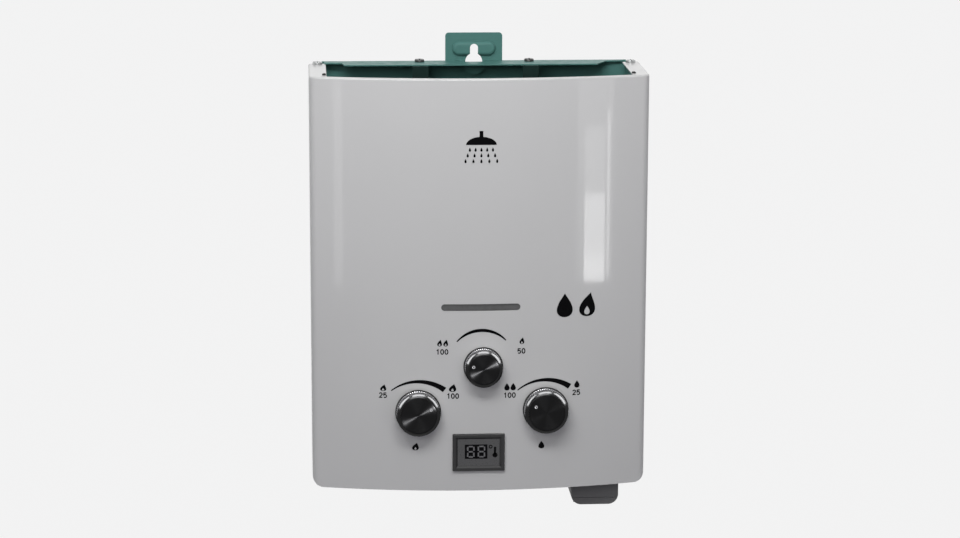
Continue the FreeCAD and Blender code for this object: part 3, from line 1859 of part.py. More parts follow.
def make_burner():
    width, depth = ("-core_half", "core_half"), ("core_front", "core_rear")
    outer = box("tray_outer", width, depth, ("tray_foot", "tray_top"))
    inner = box(
        "tray_inner",
        ("-core_half + sheet_gauge", "core_half - sheet_gauge"),
        ("core_front + sheet_gauge", "core_rear - sheet_gauge"),
        ("tray_floor", "tray_top + overrun"),
    )
    floor_window = box(
        "tray_floor_window",
        ("-core_half + tray_ledge", "core_half - tray_ledge"),
        ("core_front + tray_ledge", "core_rear - tray_ledge"),
        ("tray_foot - overrun", "tray_floor + overrun"),
    )
    front_wall = ("core_front - overrun", "core_front + sheet_gauge + overrun")
    ports = [
        rod(
            f"tray_port_{index}",
            "throat_radius + tray_port_clearance",
            "y",
            front_wall,
            (x, "throat_z"),
        )
        for index, x in enumerate(bar_places())
    ]
    node("burner_tray", cut("burner_tray", outer, [inner, floor_window] + ports))

    bars = []
    for index, x in enumerate(bar_places()):
        bar = box(
            f"bar_block_{index}",
            (f"{x} - bar_width / 2", f"{x} + bar_width / 2"),
            ("bar_front", "bar_rear"),
            ("tray_floor", "bar_top"),
        )
        throat = rod(
            f"bar_throat_{index}",
            "throat_radius",
            "y",
            ("bar_front - overrun", "bar_front + throat_depth"),
            (x, "throat_z"),
        )
        port = box(
            f"bar_port_{index}",
            (f"{x} - bar_port_width / 2", f"{x} + bar_port_width / 2"),
            ("bar_front + bar_port_inset", "bar_rear - bar_port_inset"),
            ("bar_top - bar_port_depth", "bar_top + overrun"),
        )
        bars.append(cut(f"burner_bar_{index}", bar, [throat, port]))
    node("burner_bars", group("burner_bars", bars))

    bar = box(
        "manifold_bar",
        ("-manifold_half", "manifold_half"),
        ("manifold_front", "manifold_rear"),
        ("manifold_foot", "manifold_top"),
    )
    manifold_holes = [
        rod(
            "manifold_way",
            "manifold_bore",
            "x",
            ("-manifold_half + manifold_end_wall", "manifold_half - manifold_end_wall"),
            ("(manifold_front + manifold_rear) / 2", "throat_z"),
        )
    ]
    injectors = []
    for index, x in enumerate(bar_places()):
        spot = (x, "throat_z")
        manifold_holes.append(
            rod(
                f"manifold_hole_{index}",
                "injector_radius + running_clearance",
                "y",
                ("manifold_rear - injector_thread - injector_end_gap", "manifold_rear + overrun"),
                spot,
            )
        )
        stages = [
            ("thread", "injector_radius", ("manifold_rear - injector_thread", "manifold_rear")),
            ("head", "injector_head", ("manifold_rear", "injector_head_end")),
            ("nozzle", "injector_nozzle", ("injector_head_end", "bar_front - injector_gap")),
        ]
        pieces = [
            rod(f"injector_{stage}_{index}", radius, "y", span, spot) for stage, radius, span in stages
        ]
        injectors.append(fuse(f"injector_{index}", pieces))
    node("gas_manifold", cut("gas_manifold", bar, manifold_holes))
    node("injectors", group("injectors", injectors))

    block = box(
        "season_block",
        ("season_valve_left", "season_valve_right"),
        ("season_valve_front", "season_valve_rear"),
        ("season_valve_foot", "season_valve_top"),
    )
    neck = box(
        "season_neck",
        ("season_valve_left", "season_valve_right"),
        ("manifold_front", "manifold_rear"),
        ("season_valve_top", "manifold_foot"),
    )
    boss = rod(
        "season_boss",
        "season_boss_radius",
        "y",
        ("season_boss_front", "season_valve_front"),
        ("season_x", "season_z"),
    )
    bore = rod(
        "season_bore",
        "spindle_radius + running_clearance",
        "y",
        ("season_boss_front - overrun", "season_bore_end"),
        ("season_x", "season_z"),
    )
    way = rod(
        "season_way",
        "gas_pipe_bore",
        "x",
        ("season_valve_left - overrun", "season_valve_left + port_depth"),
        ("gas_pipe_y", "gas_pipe_z"),
    )
    casting = fuse("season_casting", [block, neck, boss])
    node("season_valve", cut("season_valve", casting, [bore, way]))


def tube_route():
    """The serpentine through the fins: three passes low, two passes high."""
    low = [f"core_middle + {step} * tube_row_pitch" for step in (1, 0, -1)]
    high = [f"core_middle + {step} * tube_row_pitch / 2" for step in (-1, 1)]
    return [
        ("tube_end", low[0], "tube_low_z"),
        ("-tube_turn", low[0], "tube_low_z"),
        ("-tube_turn", low[1], "tube_low_z"),
        ("tube_turn", low[1], "tube_low_z"),
        ("tube_turn", low[2], "tube_low_z"),
        ("-tube_turn", low[2], "tube_low_z"),
        ("-tube_turn", high[0], "tube_high_z"),
        ("tube_turn", high[0], "tube_high_z"),
        ("tube_turn", high[1], "tube_high_z"),
        ("-tube_end", high[1], "tube_high_z"),
    ]


def make_heat_exchanger():
    width, depth = ("-core_half", "core_half"), ("core_front", "core_rear")
    front_wall = ("core_front - overrun", "core_front + sheet_gauge + overrun")
    outer = box("chamber_outer", width, depth, ("tray_top", "chamber_top"))
    inner = box(
        "chamber_inner",
        ("-core_half + sheet_gauge", "core_half - sheet_gauge"),
        ("core_front + sheet_gauge", "core_rear - sheet_gauge"),
        ("tray_top - overrun", "chamber_top + overrun"),
    )
    sight = box(
        "chamber_sight",
        ("-sight_width / 2", "sight_width / 2"),
        front_wall,
        ("slot_z - sight_height / 2", "slot_z + sight_height / 2"),
    )
    wire_holes = [
        rod(
            f"chamber_wire_hole_{side}",
            "ceramic_radius + running_clearance",
            "y",
            front_wall,
            (f"{sign}electrode_x", "electrode_z"),
        )
        for side, sign in BOTH_SIDES
    ]
    node("combustion_chamber", cut("combustion_chamber", outer, [inner, sight] + wire_holes))

    sheets = [
        box(
            f"fin_{index}",
            (f"-core_half + {index} * fin_pitch", f"-core_half + {index} * fin_pitch + fin_gauge"),
            depth,
            ("chamber_top", "fin_top"),
        )
        for index in range(int(number("fin_count")))
    ]
    passes = []
    for index, (_, y, z) in enumerate(tube_route()[0::2]):
        passes.append(
            rod(
                f"fin_hole_{index}",
                "tube_radius + running_clearance",
                "x",
                ("-core_half - overrun", "core_half + overrun"),
                (y, z),
            )
        )
    node("heat_exchanger_fins", cut("heat_exchanger_fins", group("fin_stack", sheets), passes))
    node(
        "heat_exchanger_tube",
        pipe(
            "heat_exchanger_tube",
            tube_route(),
            "tube_radius",
            "tube_bore",
            "tube_row_pitch / 2 - tube_bend_slack",
        ),
    )

    def hood_form(name, inset, z_low, z_high):
        """A tapering duct form; its local Y axis stands up."""
        solid = doc.addObject("Part::Wedge", name)
        solid.Placement = FreeCAD.Placement(Vector(), FreeCAD.Rotation(Vector(1, 0, 0), 90))
        limits = {
            "Xmin": f"-core_half + {inset}",
            "Xmax": f"core_half - {inset}",
            "Zmin": f"-core_rear + {inset}",
            "Zmax": f"-core_front - {inset}",
            "Ymin": z_low,
            "Ymax": z_high,
            "X2min": f"-hood_top_half + {inset}",
            "X2max": f"hood_top_half - {inset}",
            "Z2min": f"-hood_top_rear + {inset}",
            "Z2max": f"-hood_top_front - {inset}",
        }
        for limit, value in limits.items():
            solid.setExpression(limit, bound(value))
        return solid

    outside = hood_form("hood_outside", "0", "fin_top", "hood_top")
    inside = hood_form("hood_inside", "hood_gauge", "fin_top - cut_shim", "hood_top + cut_shim")
    duct = cut("hood_duct", outside, [inside])
    tabs = []
    for side, sign in BOTH_SIDES:
        x = f"{sign}flange_screw_x"
        sides = (f"{x} - tab_width / 2", f"{x} + tab_width / 2")
        foot = "hood_top_rear - hood_gauge / 2"
        stem = box(
            f"tab_stem_{side}",
            sides,
            (foot, f"{foot} + tab_gauge"),
            ("hood_top - tab_overlap", "pan_top"),
        )
        flat = box(
            f"tab_flat_{side}",
            sides,
            (foot, "pan_front - part_gap"),
            ("pan_top - tab_gauge", "pan_top"),
        )
        hole = rod(
            f"tab_hole_{side}",
            "screw_radius + hole_clearance",
            "z",
            ("pan_top - tab_gauge - overrun", "pan_top + overrun"),
            (x, "flange_screw_y"),
        )
        tabs.append(cut(f"hood_tab_{side}", fuse(f"tab_blank_{side}", [stem, flat]), [hole]))
    node("flue_hood", fuse("flue_hood", [duct] + tabs))

    stays = []
    for row, z in (("low", "tray_top + stay_inset"), ("high", "chamber_top - stay_inset")):
        for side, sign in BOTH_SIDES:
            x = f"{sign}stay_side"
            sides = (f"{x} - stay_width / 2", f"{x} + stay_width / 2")
            gap = ("core_rear", "pan_front")
            shelf = box(f"stay_shelf_{row}_{side}", sides, gap, (z, f"{z} + tab_gauge"))
            feet = [
                box(f"stay_foot_{end}_{row}_{side}", sides, span, (z, f"{z} + stay_foot_height"))
                for end, span in (
                    ("front", ("core_rear", "core_rear + tab_gauge")),
                    ("rear", ("pan_front - tab_gauge", "pan_front")),
                )
            ]
            stays.append(fuse(f"stay_{row}_{side}", [shelf] + feet))
    node("chamber_stays", group("chamber_stays", stays))


# ---------------------------------------------------------------- connectors and pipes


def make_connectors():
    for name, x in CONNECTORS:
        spot = (x, "linkage_y")
        top = "stub_top" if name == "hot_outlet" else "valve_foot"
        barrel = rod(f"{name}_barrel", "connector_radius", "z", ("connector_foot", "floor_top"), spot)
        shoulder = rod(f"{name}_shoulder", "shoulder_radius", "z", ("floor_top", "shoulder_top"), spot)
        stub = rod(f"{name}_stub", "stub_radius", "z", ("shoulder_top", top), spot)
        bore_span = ("connector_foot - overrun", f"{top} + overrun")
        bore = rod(f"{name}_bore", "connector_bore", "z", bore_span, spot)
        relief_span = ("nut_foot - thread_relief_width", "nut_foot")
        relief_core = "connector_radius - thread_relief_depth"
        relief = cut(
            f"{name}_relief",
            rod(f"{name}_relief_ring", "connector_radius + overrun", "z", relief_span, spot),
            [rod(f"{name}_relief_core", relief_core, "z", relief_span, spot)],
        )
        node(name, cut(name, fuse(f"{name}_blank", [barrel, shoulder, stub]), [bore, relief]))
    nuts = []
    for name, x in CONNECTORS:
        spot = (x, "linkage_y")
        flats = hexagon(f"{name}_nut_flats", "nut_across_flats", ("nut_foot", "floor_under"), spot)
        hole = rod(
            f"{name}_nut_hole",
            "connector_radius + running_clearance",
            "z",
            ("nut_foot - overrun", "floor_under + overrun"),
            spot,
        )
        nuts.append(cut(f"{name}_nut", flats, [hole]))
    node("connector_nuts", group("connector_nuts", nuts))


def make_pipes():
    node(
        "cold_feed_pipe",
        pipe(
            "cold_feed_pipe",
            [
                ("cold_pipe_start", "linkage_y", "valve_top"),
                ("cold_pipe_start", "linkage_y", "cold_pipe_z"),
                ("cold_pipe_x", "linkage_y", "cold_pipe_z"),
                ("cold_pipe_x", "cold_pipe_y", "cold_pipe_z + cold_pipe_slant"),
                ("cold_pipe_x", "cold_pipe_y", "tube_low_z"),
                ("tube_end", "cold_pipe_y", "tube_low_z"),
            ],
            "tube_radius",
            "tube_bore",
            "bend_radius",
        ),
    )
    node(
        "hot_pipe",
        pipe(
            "hot_pipe",
            [
                ("-tube_end", "hot_pipe_y", "tube_high_z"),
                ("hot_outlet_x", "hot_pipe_y", "tube_high_z"),
                ("hot_outlet_x", "hot_pipe_y", "floor_top + hot_pipe_low + hot_pipe_slant"),
                ("hot_outlet_x", "linkage_y", "floor_top + hot_pipe_low"),
                ("hot_outlet_x", "linkage_y", "stub_top"),
            ],
            "tube_radius",
            "tube_bore",
            "bend_radius",
        ),
    )


def make_drain():
    spot = ("drain_x", "linkage_y")
    shank_span = ("drain_head_top", "drain_boss_foot + drain_plug_depth")
    shank = rod("drain_shank", "drain_plug_radius", "z", shank_span, spot)
    head = rod("drain_head", "drain_head_radius", "z", ("drain_head_foot", "drain_head_top"), spot)
    grip = box(
        "drain_grip",
        ("drain_x - drain_head_radius", "drain_x + drain_head_radius"),
        ("linkage_y - drain_grip_width / 2", "linkage_y + drain_grip_width / 2"),
        ("drain_head_foot - drain_grip_length", "drain_head_foot + embed"),
    )
    collar_radius = "drain_plug_radius + drain_collar_width"
    seat = rod("drain_collar", collar_radius, "z", ("seal_foot - drain_collar_depth", "seal_foot"), spot)
    node("drain_plug", fuse("drain_plug", [shank, head, grip, seat]))
    ring = rod("drain_ring", collar_radius, "z", ("seal_foot", "drain_boss_foot"), spot)
    hole = rod(
        "drain_ring_hole",
        "drain_plug_radius + running_clearance",
        "z",
        ("seal_foot - overrun", "drain_boss_foot + overrun"),
        spot,
    )
    node("drain_seal", cut("drain_seal", ring, [hole]))


# ---------------------------------------------------------------- igniter and sensors


def make_igniter():
    case = box(
        "igniter_case",
        ("-pan_inside", "-pan_inside + igniter_width"),
        ("igniter_front", "igniter_front + igniter_depth"),
        ("igniter_top - igniter_height", "igniter_top"),
    )
    soft_case = round_edges("igniter_box", case, "igniter_corner", lambda edge: runs_along(edge, "x"))
    node("igniter_box", soft_case)
    electrodes = []
    clips = []
    for side, sign in BOTH_SIDES:
        spot = (f"{sign}electrode_x", "electrode_z")
        ceramic = rod(
            f"ceramic_{side}",
            "ceramic_radius",
            "y",
            ("ceramic_front", "ceramic_front + ceramic_length"),
            spot,
        )
        wire = rod(
            f"electrode_wire_{side}",
            "electrode_wire_radius",
            "y",
            (
                "ceramic_front - electrode_tail",
                "ceramic_front + ceramic_length + electrode_reach",
            ),
            spot,
        )
        electrodes.append(fuse(f"electrode_{side}", [ceramic, wire]))
        x, z = around(spot[0], "electrode_clip / 2", spot[1], "electrode_clip / 2")
        clip = box(f"clip_sheet_{side}", x, ("core_front - tab_gauge", "core_front"), z)
        hole = rod(
            f"clip_hole_{side}",
            "ceramic_radius + running_clearance",
            "y",
            ("core_front - tab_gauge - overrun", "core_front + overrun"),
            spot,
        )
        clips.append(cut(f"electrode_clip_{side}", clip, [hole]))
    node("ignition_electrodes", group("ignition_electrodes", electrodes + clips))

    spot = ("core_middle", "thermostat_z")
    disc = rod(
        "thermostat_disc",
        "thermostat_radius",
        "x",
        ("thermostat_left", "-core_half"),
        spot,
    )
    cap = rod(
        "thermostat_cap",
        "thermostat_radius - thermostat_cap",
        "x",
        ("thermostat_left - thermostat_cap", "thermostat_left"),
        spot,
    )
    node("overheat_thermostat", fuse("overheat_thermostat", [disc, cap]))
    spot = ("hot_outlet_x", "hot_pipe_y")
    span = ("sensor_z", "sensor_z + sensor_length")
    ring = rod("sensor_ring", "tube_radius + sensor_wall", "z", span, spot)
    bead = box(
        "sensor_bead",
        ("hot_outlet_x - sensor_bead / 2", "hot_outlet_x + sensor_bead / 2"),
        ("hot_pipe_y - tube_radius - sensor_bead_reach", "hot_pipe_y - tube_radius"),
        span,
    )
    hole = rod(
        "sensor_hole",
        "tube_radius + running_clearance",
        "z",
        ("sensor_z - overrun", "sensor_z + sensor_length + overrun"),
        spot,
    )
    clip = fuse("sensor_blank", [ring, bead])
    node("water_temperature_sensor", cut("water_temperature_sensor", clip, [hole]))


# ---------------------------------------------------------------- battery box


def battery_block(name, inset, z):
    """The battery box's outline, drawn in by `inset`, between two heights."""
    return box(
        name,
        (f"battery_left + {inset}", f"battery_right - {inset}"),
        (f"battery_front + {inset}", f"battery_rear - {inset}"),
        z,
    )


def lug_spans():
    """X limits of the two hinge lugs."""
    return [
        ("battery_left + lug_inset", "battery_left + lug_inset + lug_width"),
        ("battery_right - lug_inset - lug_width", "battery_right - lug_inset"),
    ]


def soft_footed_block(name, inset, radius, z):
    """A battery block whose two foot edges along Y are rounded."""
    return round_edges(
        name,
        battery_block(name + "_block", inset, z),
        radius,
        lambda edge: runs_along(edge, "y") and near(edge.BoundBox.ZMax, z[0]),
    )


def battery_share(name, z):
    """The battery box's rounded form between two heights."""
    whole = soft_footed_block(name + "_whole", "0", "battery_corner", ("battery_foot", "battery_top"))
    return common(name, [whole, battery_block(name + "_limit", "-overrun", z)])


def make_battery_box():
    case = battery_share("battery_case", ("case_foot", "battery_top + overrun"))
    collar = battery_block("battery_collar", "-collar_width", ("floor_top", "floor_top + collar_gauge"))
    collar_limit = box(
        "battery_collar_limit",
        ("battery_left - collar_width", "battery_right + collar_width"),
        ("floor_front", "pan_front - part_gap"),
        ("floor_top", "floor_top + collar_gauge"),
    )
    cavity = battery_block("battery_cavity", "battery_wall", ("case_foot - overrun", "battery_ceiling"))
    pivot = ("hinge_y", "hinge_z")
    lugs = []
    for index, span in enumerate(lug_spans()):
        lugs.append(rod(f"lug_eye_{index}", "knuckle_radius", "x", span, pivot))
        lugs.append(
            box(
                f"lug_stem_{index}",
                span,
                ("hinge_y - knuckle_radius", "hinge_y + knuckle_radius"),
                ("hinge_z", "case_foot + embed"),
            )
        )
    pin_hole = rod(
        "lug_pin_hole",
        "hinge_pin_radius + press_clearance",
        "x",
        ("battery_left", "battery_right"),
        pivot,
    )
    blank = fuse("battery_box_blank", [case, common("battery_collar_cut", [collar, collar_limit])])
    hollow = cut("battery_box_hollow", blank, [cavity])
    node("battery_box", cut("battery_box", fuse("battery_box_lugged", [hollow] + lugs), [pin_hole]))
    node(
        "battery_hinge_pin",
        rod(
            "battery_hinge_pin",
            "hinge_pin_radius",
            "x",
            ("battery_left + lug_inset", "battery_right - lug_inset"),
            pivot,
        ),
    )

    lid_blank = battery_share("lid_blank", ("battery_foot - overrun", "lid_top"))
    inner_corner = "battery_corner - battery_wall"
    hollow_lid = cut(
        "lid_hollow",
        lid_blank,
        [
            soft_footed_block("lid_cavity", "battery_wall", inner_corner, ("battery_floor", "battery_ceiling")),
            box(
                "lid_rear_step",
                ("battery_left - overrun", "battery_right + overrun"),
                ("hinge_y - knuckle_radius - lid_step", "battery_rear + overrun"),
                ("hinge_z", "lid_top + overrun"),
            ),
        ],
    )
    knuckle_span = (
        "battery_left + lug_inset + lug_width + part_gap",
        "battery_right - lug_inset - lug_width - part_gap",
    )
    knuckle = rod("lid_knuckle", "knuckle_radius", "x", knuckle_span, pivot)
    web = box(
        "lid_knuckle_web",
        knuckle_span,
        ("hinge_y - knuckle_radius", "hinge_y + knuckle_radius"),
        ("battery_floor - embed", "hinge_z"),
    )
    catch_left = "battery_left + battery_wall + part_gap"
    catch_right = "battery_right - battery_wall - part_gap"
    catch_front = "battery_front + battery_wall + catch_gap"
    catches = [
        box(
            f"lid_catch_{side}",
            span,
            (catch_front, f"{catch_front} + catch_gauge"),
            ("battery_floor - embed", "battery_floor + catch_height"),
        )
        for side, span in (
            ("left", (catch_left, f"{catch_left} + catch_width")),
            ("right", (f"{catch_right} - catch_width", catch_right)),
        )
    ]
    notches = [
        box(
            f"lid_notch_{index}",
            (f"{span[0]} - part_gap", f"{span[1]} + part_gap"),
            ("hinge_y - knuckle_radius - part_gap", "battery_rear + overrun"),
            ("battery_foot - overrun", "lid_top + overrun"),
        )
        for index, span in enumerate(lug_spans())
    ]
    lid_pin_hole = rod(
        "lid_pin_hole",
        "hinge_pin_radius + running_clearance",
        "x",
        ("battery_left + lug_inset", "battery_right - lug_inset"),
        pivot,
    )
    lid = fuse("lid_joined", [hollow_lid, knuckle, web] + catches)
    node("battery_lid", cut("battery_lid", lid, notches + [lid_pin_hole]))


def make_battery_cells():
    cells = []
    for index, y in enumerate(("rear_cell_y", "front_cell_y")):
        spot = ("battery_centre", y)
        can_top = "cell_top - cell_nipple_height"
        can = rod(f"cell_can_{index}", "cell_radius", "z", ("cell_foot", can_top), spot)
        nipple = rod(f"cell_nipple_{index}", "cell_nipple_radius", "z", (can_top, "cell_top"), spot)
        cells.append(fuse(f"cell_{index}", [can, nipple]))
    node("battery_cells", group("battery_cells", cells))
    span = ("battery_ceiling - top_contact_height", "battery_ceiling")
    contacts = [
        rod(f"top_contact_{index}", "contact_radius", "z", span, ("battery_centre", y))
        for index, y in enumerate(("rear_cell_y", "front_cell_y"))
    ]
    node("battery_contacts", group("battery_contacts", contacts))
    strip = box(
        "lid_contact_strip",
        ("battery_centre - contact_radius", "battery_centre + contact_radius"),
        ("front_cell_y - contact_radius", "rear_cell_y + contact_radius"),
        ("battery_floor", "battery_floor + contact_gauge"),
    )
    springs = [
        taper(
            f"lid_contact_spring_{index}",
            ("contact_radius", "contact_tip"),
            "z",
            ("battery_floor + contact_gauge", "cell_foot - part_gap"),
            ("battery_centre", y),
        )
        for index, y in enumerate(("rear_cell_y", "front_cell_y"))
    ]
    node("lid_contact", fuse("lid_contact", [strip] + springs))


# ---------------------------------------------------------------- assembly

make_front_cover()
make_back_pan()
make_bracket()
make_floor_plate()
make_screws()
make_window()
make_display()
for knob in KNOBS:
    make_knob(knob)
make_gas_valve()
make_water_valve()
make_switch()
make_burner()
make_heat_exchanger()
make_connectors()
make_pipes()
make_drain()
make_igniter()
make_battery_box()
make_battery_cells()

doc.recompute()
failed = [item.Name for item in doc.Objects if {"Invalid", "Error"} & set(item.State)]
failed += [
    name
    for name, solid in parts.items()
    if solid.Shape.isNull() or not solid.Shape.isValid() or not solid.Shape.Solids
]
if failed:
    raise RuntimeError(f"no valid shape: {failed}")

os.makedirs("parts", exist_ok=True)
for name, solid in parts.items():
    solid.Shape.exportStep(f"parts/{name}.step")
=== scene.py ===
import json
import math

import bpy
from mathutils import Matrix, Vector
from mathutils.geometry import tessellate_polygon


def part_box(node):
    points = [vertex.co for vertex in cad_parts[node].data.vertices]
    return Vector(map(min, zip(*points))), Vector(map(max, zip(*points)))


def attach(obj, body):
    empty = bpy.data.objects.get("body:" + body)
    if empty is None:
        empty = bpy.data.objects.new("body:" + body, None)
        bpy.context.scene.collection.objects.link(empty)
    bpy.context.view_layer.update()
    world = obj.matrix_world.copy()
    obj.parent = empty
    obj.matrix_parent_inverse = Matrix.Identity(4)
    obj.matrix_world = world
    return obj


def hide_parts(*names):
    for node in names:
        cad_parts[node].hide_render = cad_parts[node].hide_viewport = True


# Looks of the portable propane water heater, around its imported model. The frame is the model's own, in
# metres: +X to the right seen from the front, +Y into the wall, +Z up. Prints and small pieces are sized
# in mm, and turned into metres where they are made.

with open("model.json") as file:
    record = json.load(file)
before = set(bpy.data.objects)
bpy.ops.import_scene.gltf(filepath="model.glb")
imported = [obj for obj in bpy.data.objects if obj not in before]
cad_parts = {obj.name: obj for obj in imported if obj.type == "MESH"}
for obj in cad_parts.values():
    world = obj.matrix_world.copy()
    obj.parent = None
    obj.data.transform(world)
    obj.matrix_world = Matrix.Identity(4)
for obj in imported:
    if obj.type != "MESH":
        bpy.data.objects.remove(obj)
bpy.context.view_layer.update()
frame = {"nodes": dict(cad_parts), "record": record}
nodes = frame["nodes"]

MM = 0.001


# ---------------------------------------------------------------- camera

CAMERA_PLACE = (-0.155, -2.4391, 0.3392)
CAMERA_YAW = 3.78  # degrees to the right of straight ahead
CAMERA_PITCH = 12.14  # degrees down
CAMERA_ROLL = 0.17  # degrees
FOCAL_PIXELS = 2803
IMAGE_WIDTH = 960  # pixels
SENSOR_WIDTH = 36.0  # mm


def make_camera():
    data = bpy.data.cameras.new("camera")
    data.sensor_width = SENSOR_WIDTH
    data.lens = FOCAL_PIXELS / IMAGE_WIDTH * SENSOR_WIDTH
    camera = bpy.data.objects.new("camera", data)
    camera.rotation_mode = "XYZ"
    turned = (
        Matrix.Rotation(math.radians(-CAMERA_YAW), 4, "Z")
        @ Matrix.Rotation(math.radians(90 - CAMERA_PITCH), 4, "X")
        @ Matrix.Rotation(math.radians(CAMERA_ROLL), 4, "Z")
    )
    camera.matrix_world = Matrix.Translation(CAMERA_PLACE) @ turned
    bpy.context.scene.collection.objects.link(camera)
    bpy.context.scene.camera = camera


# ---------------------------------------------------------------- lamps

FRONT = (0, -0.1, -0.12)  # the middle of the cover's front
DIALS = (0, -0.12, -0.28)  # the middle of the three knobs

# Soft lamps on the whole object: name, place, what they face, width and height, watts
STUDIO_LAMPS = (
    ("key_softbox", (-0.12, -0.78, 0.56), FRONT, (0.8, 0.28), 7.5),
    ("overhead", (0, -0.45, 0.95), (0, -0.05, 0), (0.5, 0.5), 1),
    ("front_fill", (-0.8, -2.2, 0.75), FRONT, (1.0, 0.6), 8),
    ("back_fill", (0.3, 1.9, 0.9), FRONT, (1.6, 1.2), 7),
    ("left_fill", (-1.5, 0.35, 0.2), FRONT, (0.8, 0.8), 1.6),
    ("right_fill", (1.5, 0.35, 0.2), FRONT, (0.8, 0.8), 1),
)

# Upright lamps that the gloss of the cover's front mirrors near its sides: name, left and right edge, top,
# radiance. They share a lower edge, so their mirror images add up towards the foot.
STRIP_LAMPS = (
    ("strip_tall", 0.475, 0.64, -0.06, 1.8),
    ("strip_middle", 0.509, 0.603, -0.207, 2.8),
    ("strip_low", 0.509, 0.603, -0.289, 6.5),
    ("strip_foot", 0.509, 0.603, -0.364, 3.5),
    ("strip_line", 0.62, 0.634, -0.19, 7),
    ("strip_left", -0.565, -0.525, -0.06, 2),
)
STRIP_LOWER_EDGE = -0.396
STRIP_DEPTH = -0.99
STRIP_TARGET = (0.12, -0.095, -0.15)  # on the cover, for the lamps on the right

# Small lamps that only the knobs' metal mirrors: name, place, width and height, watts
RIM_LAMPS = (
    ("rim_top", (0, -0.4, 1.1), (1.1, 0.8), 95),
    ("rim_left", (-1.05, -0.4, 0.42), (0.5, 1.1), 60),
    ("rim_right", (1.05, -0.4, 0.42), (0.5, 1.1), 60),
)
STREAK_LAMP = ("face_streak", (0.66, -1.15, -0.27), (0.09, 0.09), 34)


def make_lamp(name, place, target, size, watts, only=()):
    """A rectangular soft lamp that faces a target. It lights everything, or only some pieces."""
    data = bpy.data.lights.new(name, "AREA")
    data.shape = "RECTANGLE"
    data.size, data.size_y = size
    data.energy = watts
    lamp = bpy.data.objects.new(name, data)
    lamp.location = place
    lamp.rotation_euler = (Vector(target) - Vector(place)).to_track_quat("-Z", "Y").to_euler()
    lamp.visible_camera = False
    bpy.context.scene.collection.objects.link(lamp)
    if only:
        lit = bpy.data.collections.new(name)
        for piece in only:
            lit.objects.link(piece)
        lamp.light_linking.receiver_collection = lit


def make_strip_lamps():
    """The upright lamps. An even lamp's power is pi times its radiance and its area."""
    for name, left, right, top, radiance in STRIP_LAMPS:
        width, height = right - left, top - STRIP_LOWER_EDGE
        place = ((left + right) / 2, STRIP_DEPTH, (top + STRIP_LOWER_EDGE) / 2)
        target = (math.copysign(STRIP_TARGET[0], left), *STRIP_TARGET[1:])
        make_lamp(name, place, target, (width, height), radiance * math.pi * width * height)


def make_knob_lamps(rims, streaked_faces):
    """Lamps along the tops of the knobs' rims, and one whose streak crosses two of the spun faces."""
    for name, place, size, watts in RIM_LAMPS:
        make_lamp(name, place, DIALS, size, watts, rims)
    name, place, size, watts = STREAK_LAMP
    make_lamp(name, place, DIALS, size, watts, streaked_faces)


# ---------------------------------------------------------------- floor and surroundings

FLOOR_HEIGHT = -1.3
FLOOR_HALF = 12.0
FLOOR_COLOUR = (0.06, 0.05, 0.11)
FLOOR_PALE_SHARE = 0.95  # the rest of what is seen of the floor is lit paper, which keeps the shadow
FLOOR_GLOW = 1.045  # makes up for the paper's darker share
SURROUNDINGS = (0.896, 0.896, 0.896)  # the pale colour that is seen all round
AMBIENT_STRENGTH = 0.31


def combined(tree, operation, first, second):
    """The result of a math node on a socket and on another socket or a number."""
    node = tree.nodes.new("ShaderNodeMath")
    node.operation = operation
    tree.links.new(first, node.inputs[0])
    if isinstance(second, bpy.types.NodeSocket):
        tree.links.new(second, node.inputs[1])
    else:
        node.inputs[1].default_value = second
    return node.outputs[0]


def pale_surroundings(tree, lit_shader, output, pale_kind, strength, share):
    """Camera, mirror and glass rays see mostly an even pale colour, and other rays see the lit shader."""
    path = tree.nodes.new("ShaderNodeLightPath").outputs
    seen = combined(tree, "MAXIMUM", path["Is Camera Ray"], path["Is Glossy Ray"])
    seen = combined(tree, "MAXIMUM", seen, path["Is Transmission Ray"])
    amount = combined(tree, "MULTIPLY", seen, share)
    pale = tree.nodes.new(pale_kind)
    pale.inputs["Color"].default_value = (*SURROUNDINGS, 1)
    pale.inputs["Strength"].default_value = strength
    mix = tree.nodes.new("ShaderNodeMixShader")
    tree.links.new(amount, mix.inputs["Fac"])
    tree.links.new(lit_shader.outputs[0], mix.inputs[1])
    tree.links.new(pale.outputs[0], mix.inputs[2])
    tree.links.new(mix.outputs[0], output.inputs["Surface"])


def make_world():
    world = bpy.data.worlds.new("studio")
    world.use_nodes = True
    bpy.context.scene.world = world
    tree = world.node_tree
    ambient = tree.nodes["Background"]
    ambient.inputs["Color"].default_value = (1, 1, 1, 1)
    ambient.inputs["Strength"].default_value = AMBIENT_STRENGTH
    pale_surroundings(tree, ambient, tree.nodes["World Output"], "ShaderNodeBackground", 1.0, 1.0)


def make_floor():
    mesh = bpy.data.meshes.new("floor")
    corners = [(x * FLOOR_HALF, y * FLOOR_HALF, FLOOR_HEIGHT) for x, y in ((-1, -1), (1, -1), (1, 1), (-1, 1))]
    mesh.from_pydata(corners, [], [(0, 1, 2, 3)])
    floor = bpy.data.objects.new("floor", mesh)
    bpy.context.scene.collection.objects.link(floor)
    material = bpy.data.materials.new("floor_paper")
    material.use_nodes = True
    tree = material.node_tree
    paper = tree.nodes["Principled BSDF"]
    paper.inputs["Base Color"].default_value = (*FLOOR_COLOUR, 1)
    paper.inputs["Roughness"].default_value = 0.9
    output = tree.nodes["Material Output"]
    pale_surroundings(tree, paper, output, "ShaderNodeEmission", FLOOR_GLOW, FLOOR_PALE_SHARE)
    mesh.materials.append(material)


# ---------------------------------------------------------------- materials


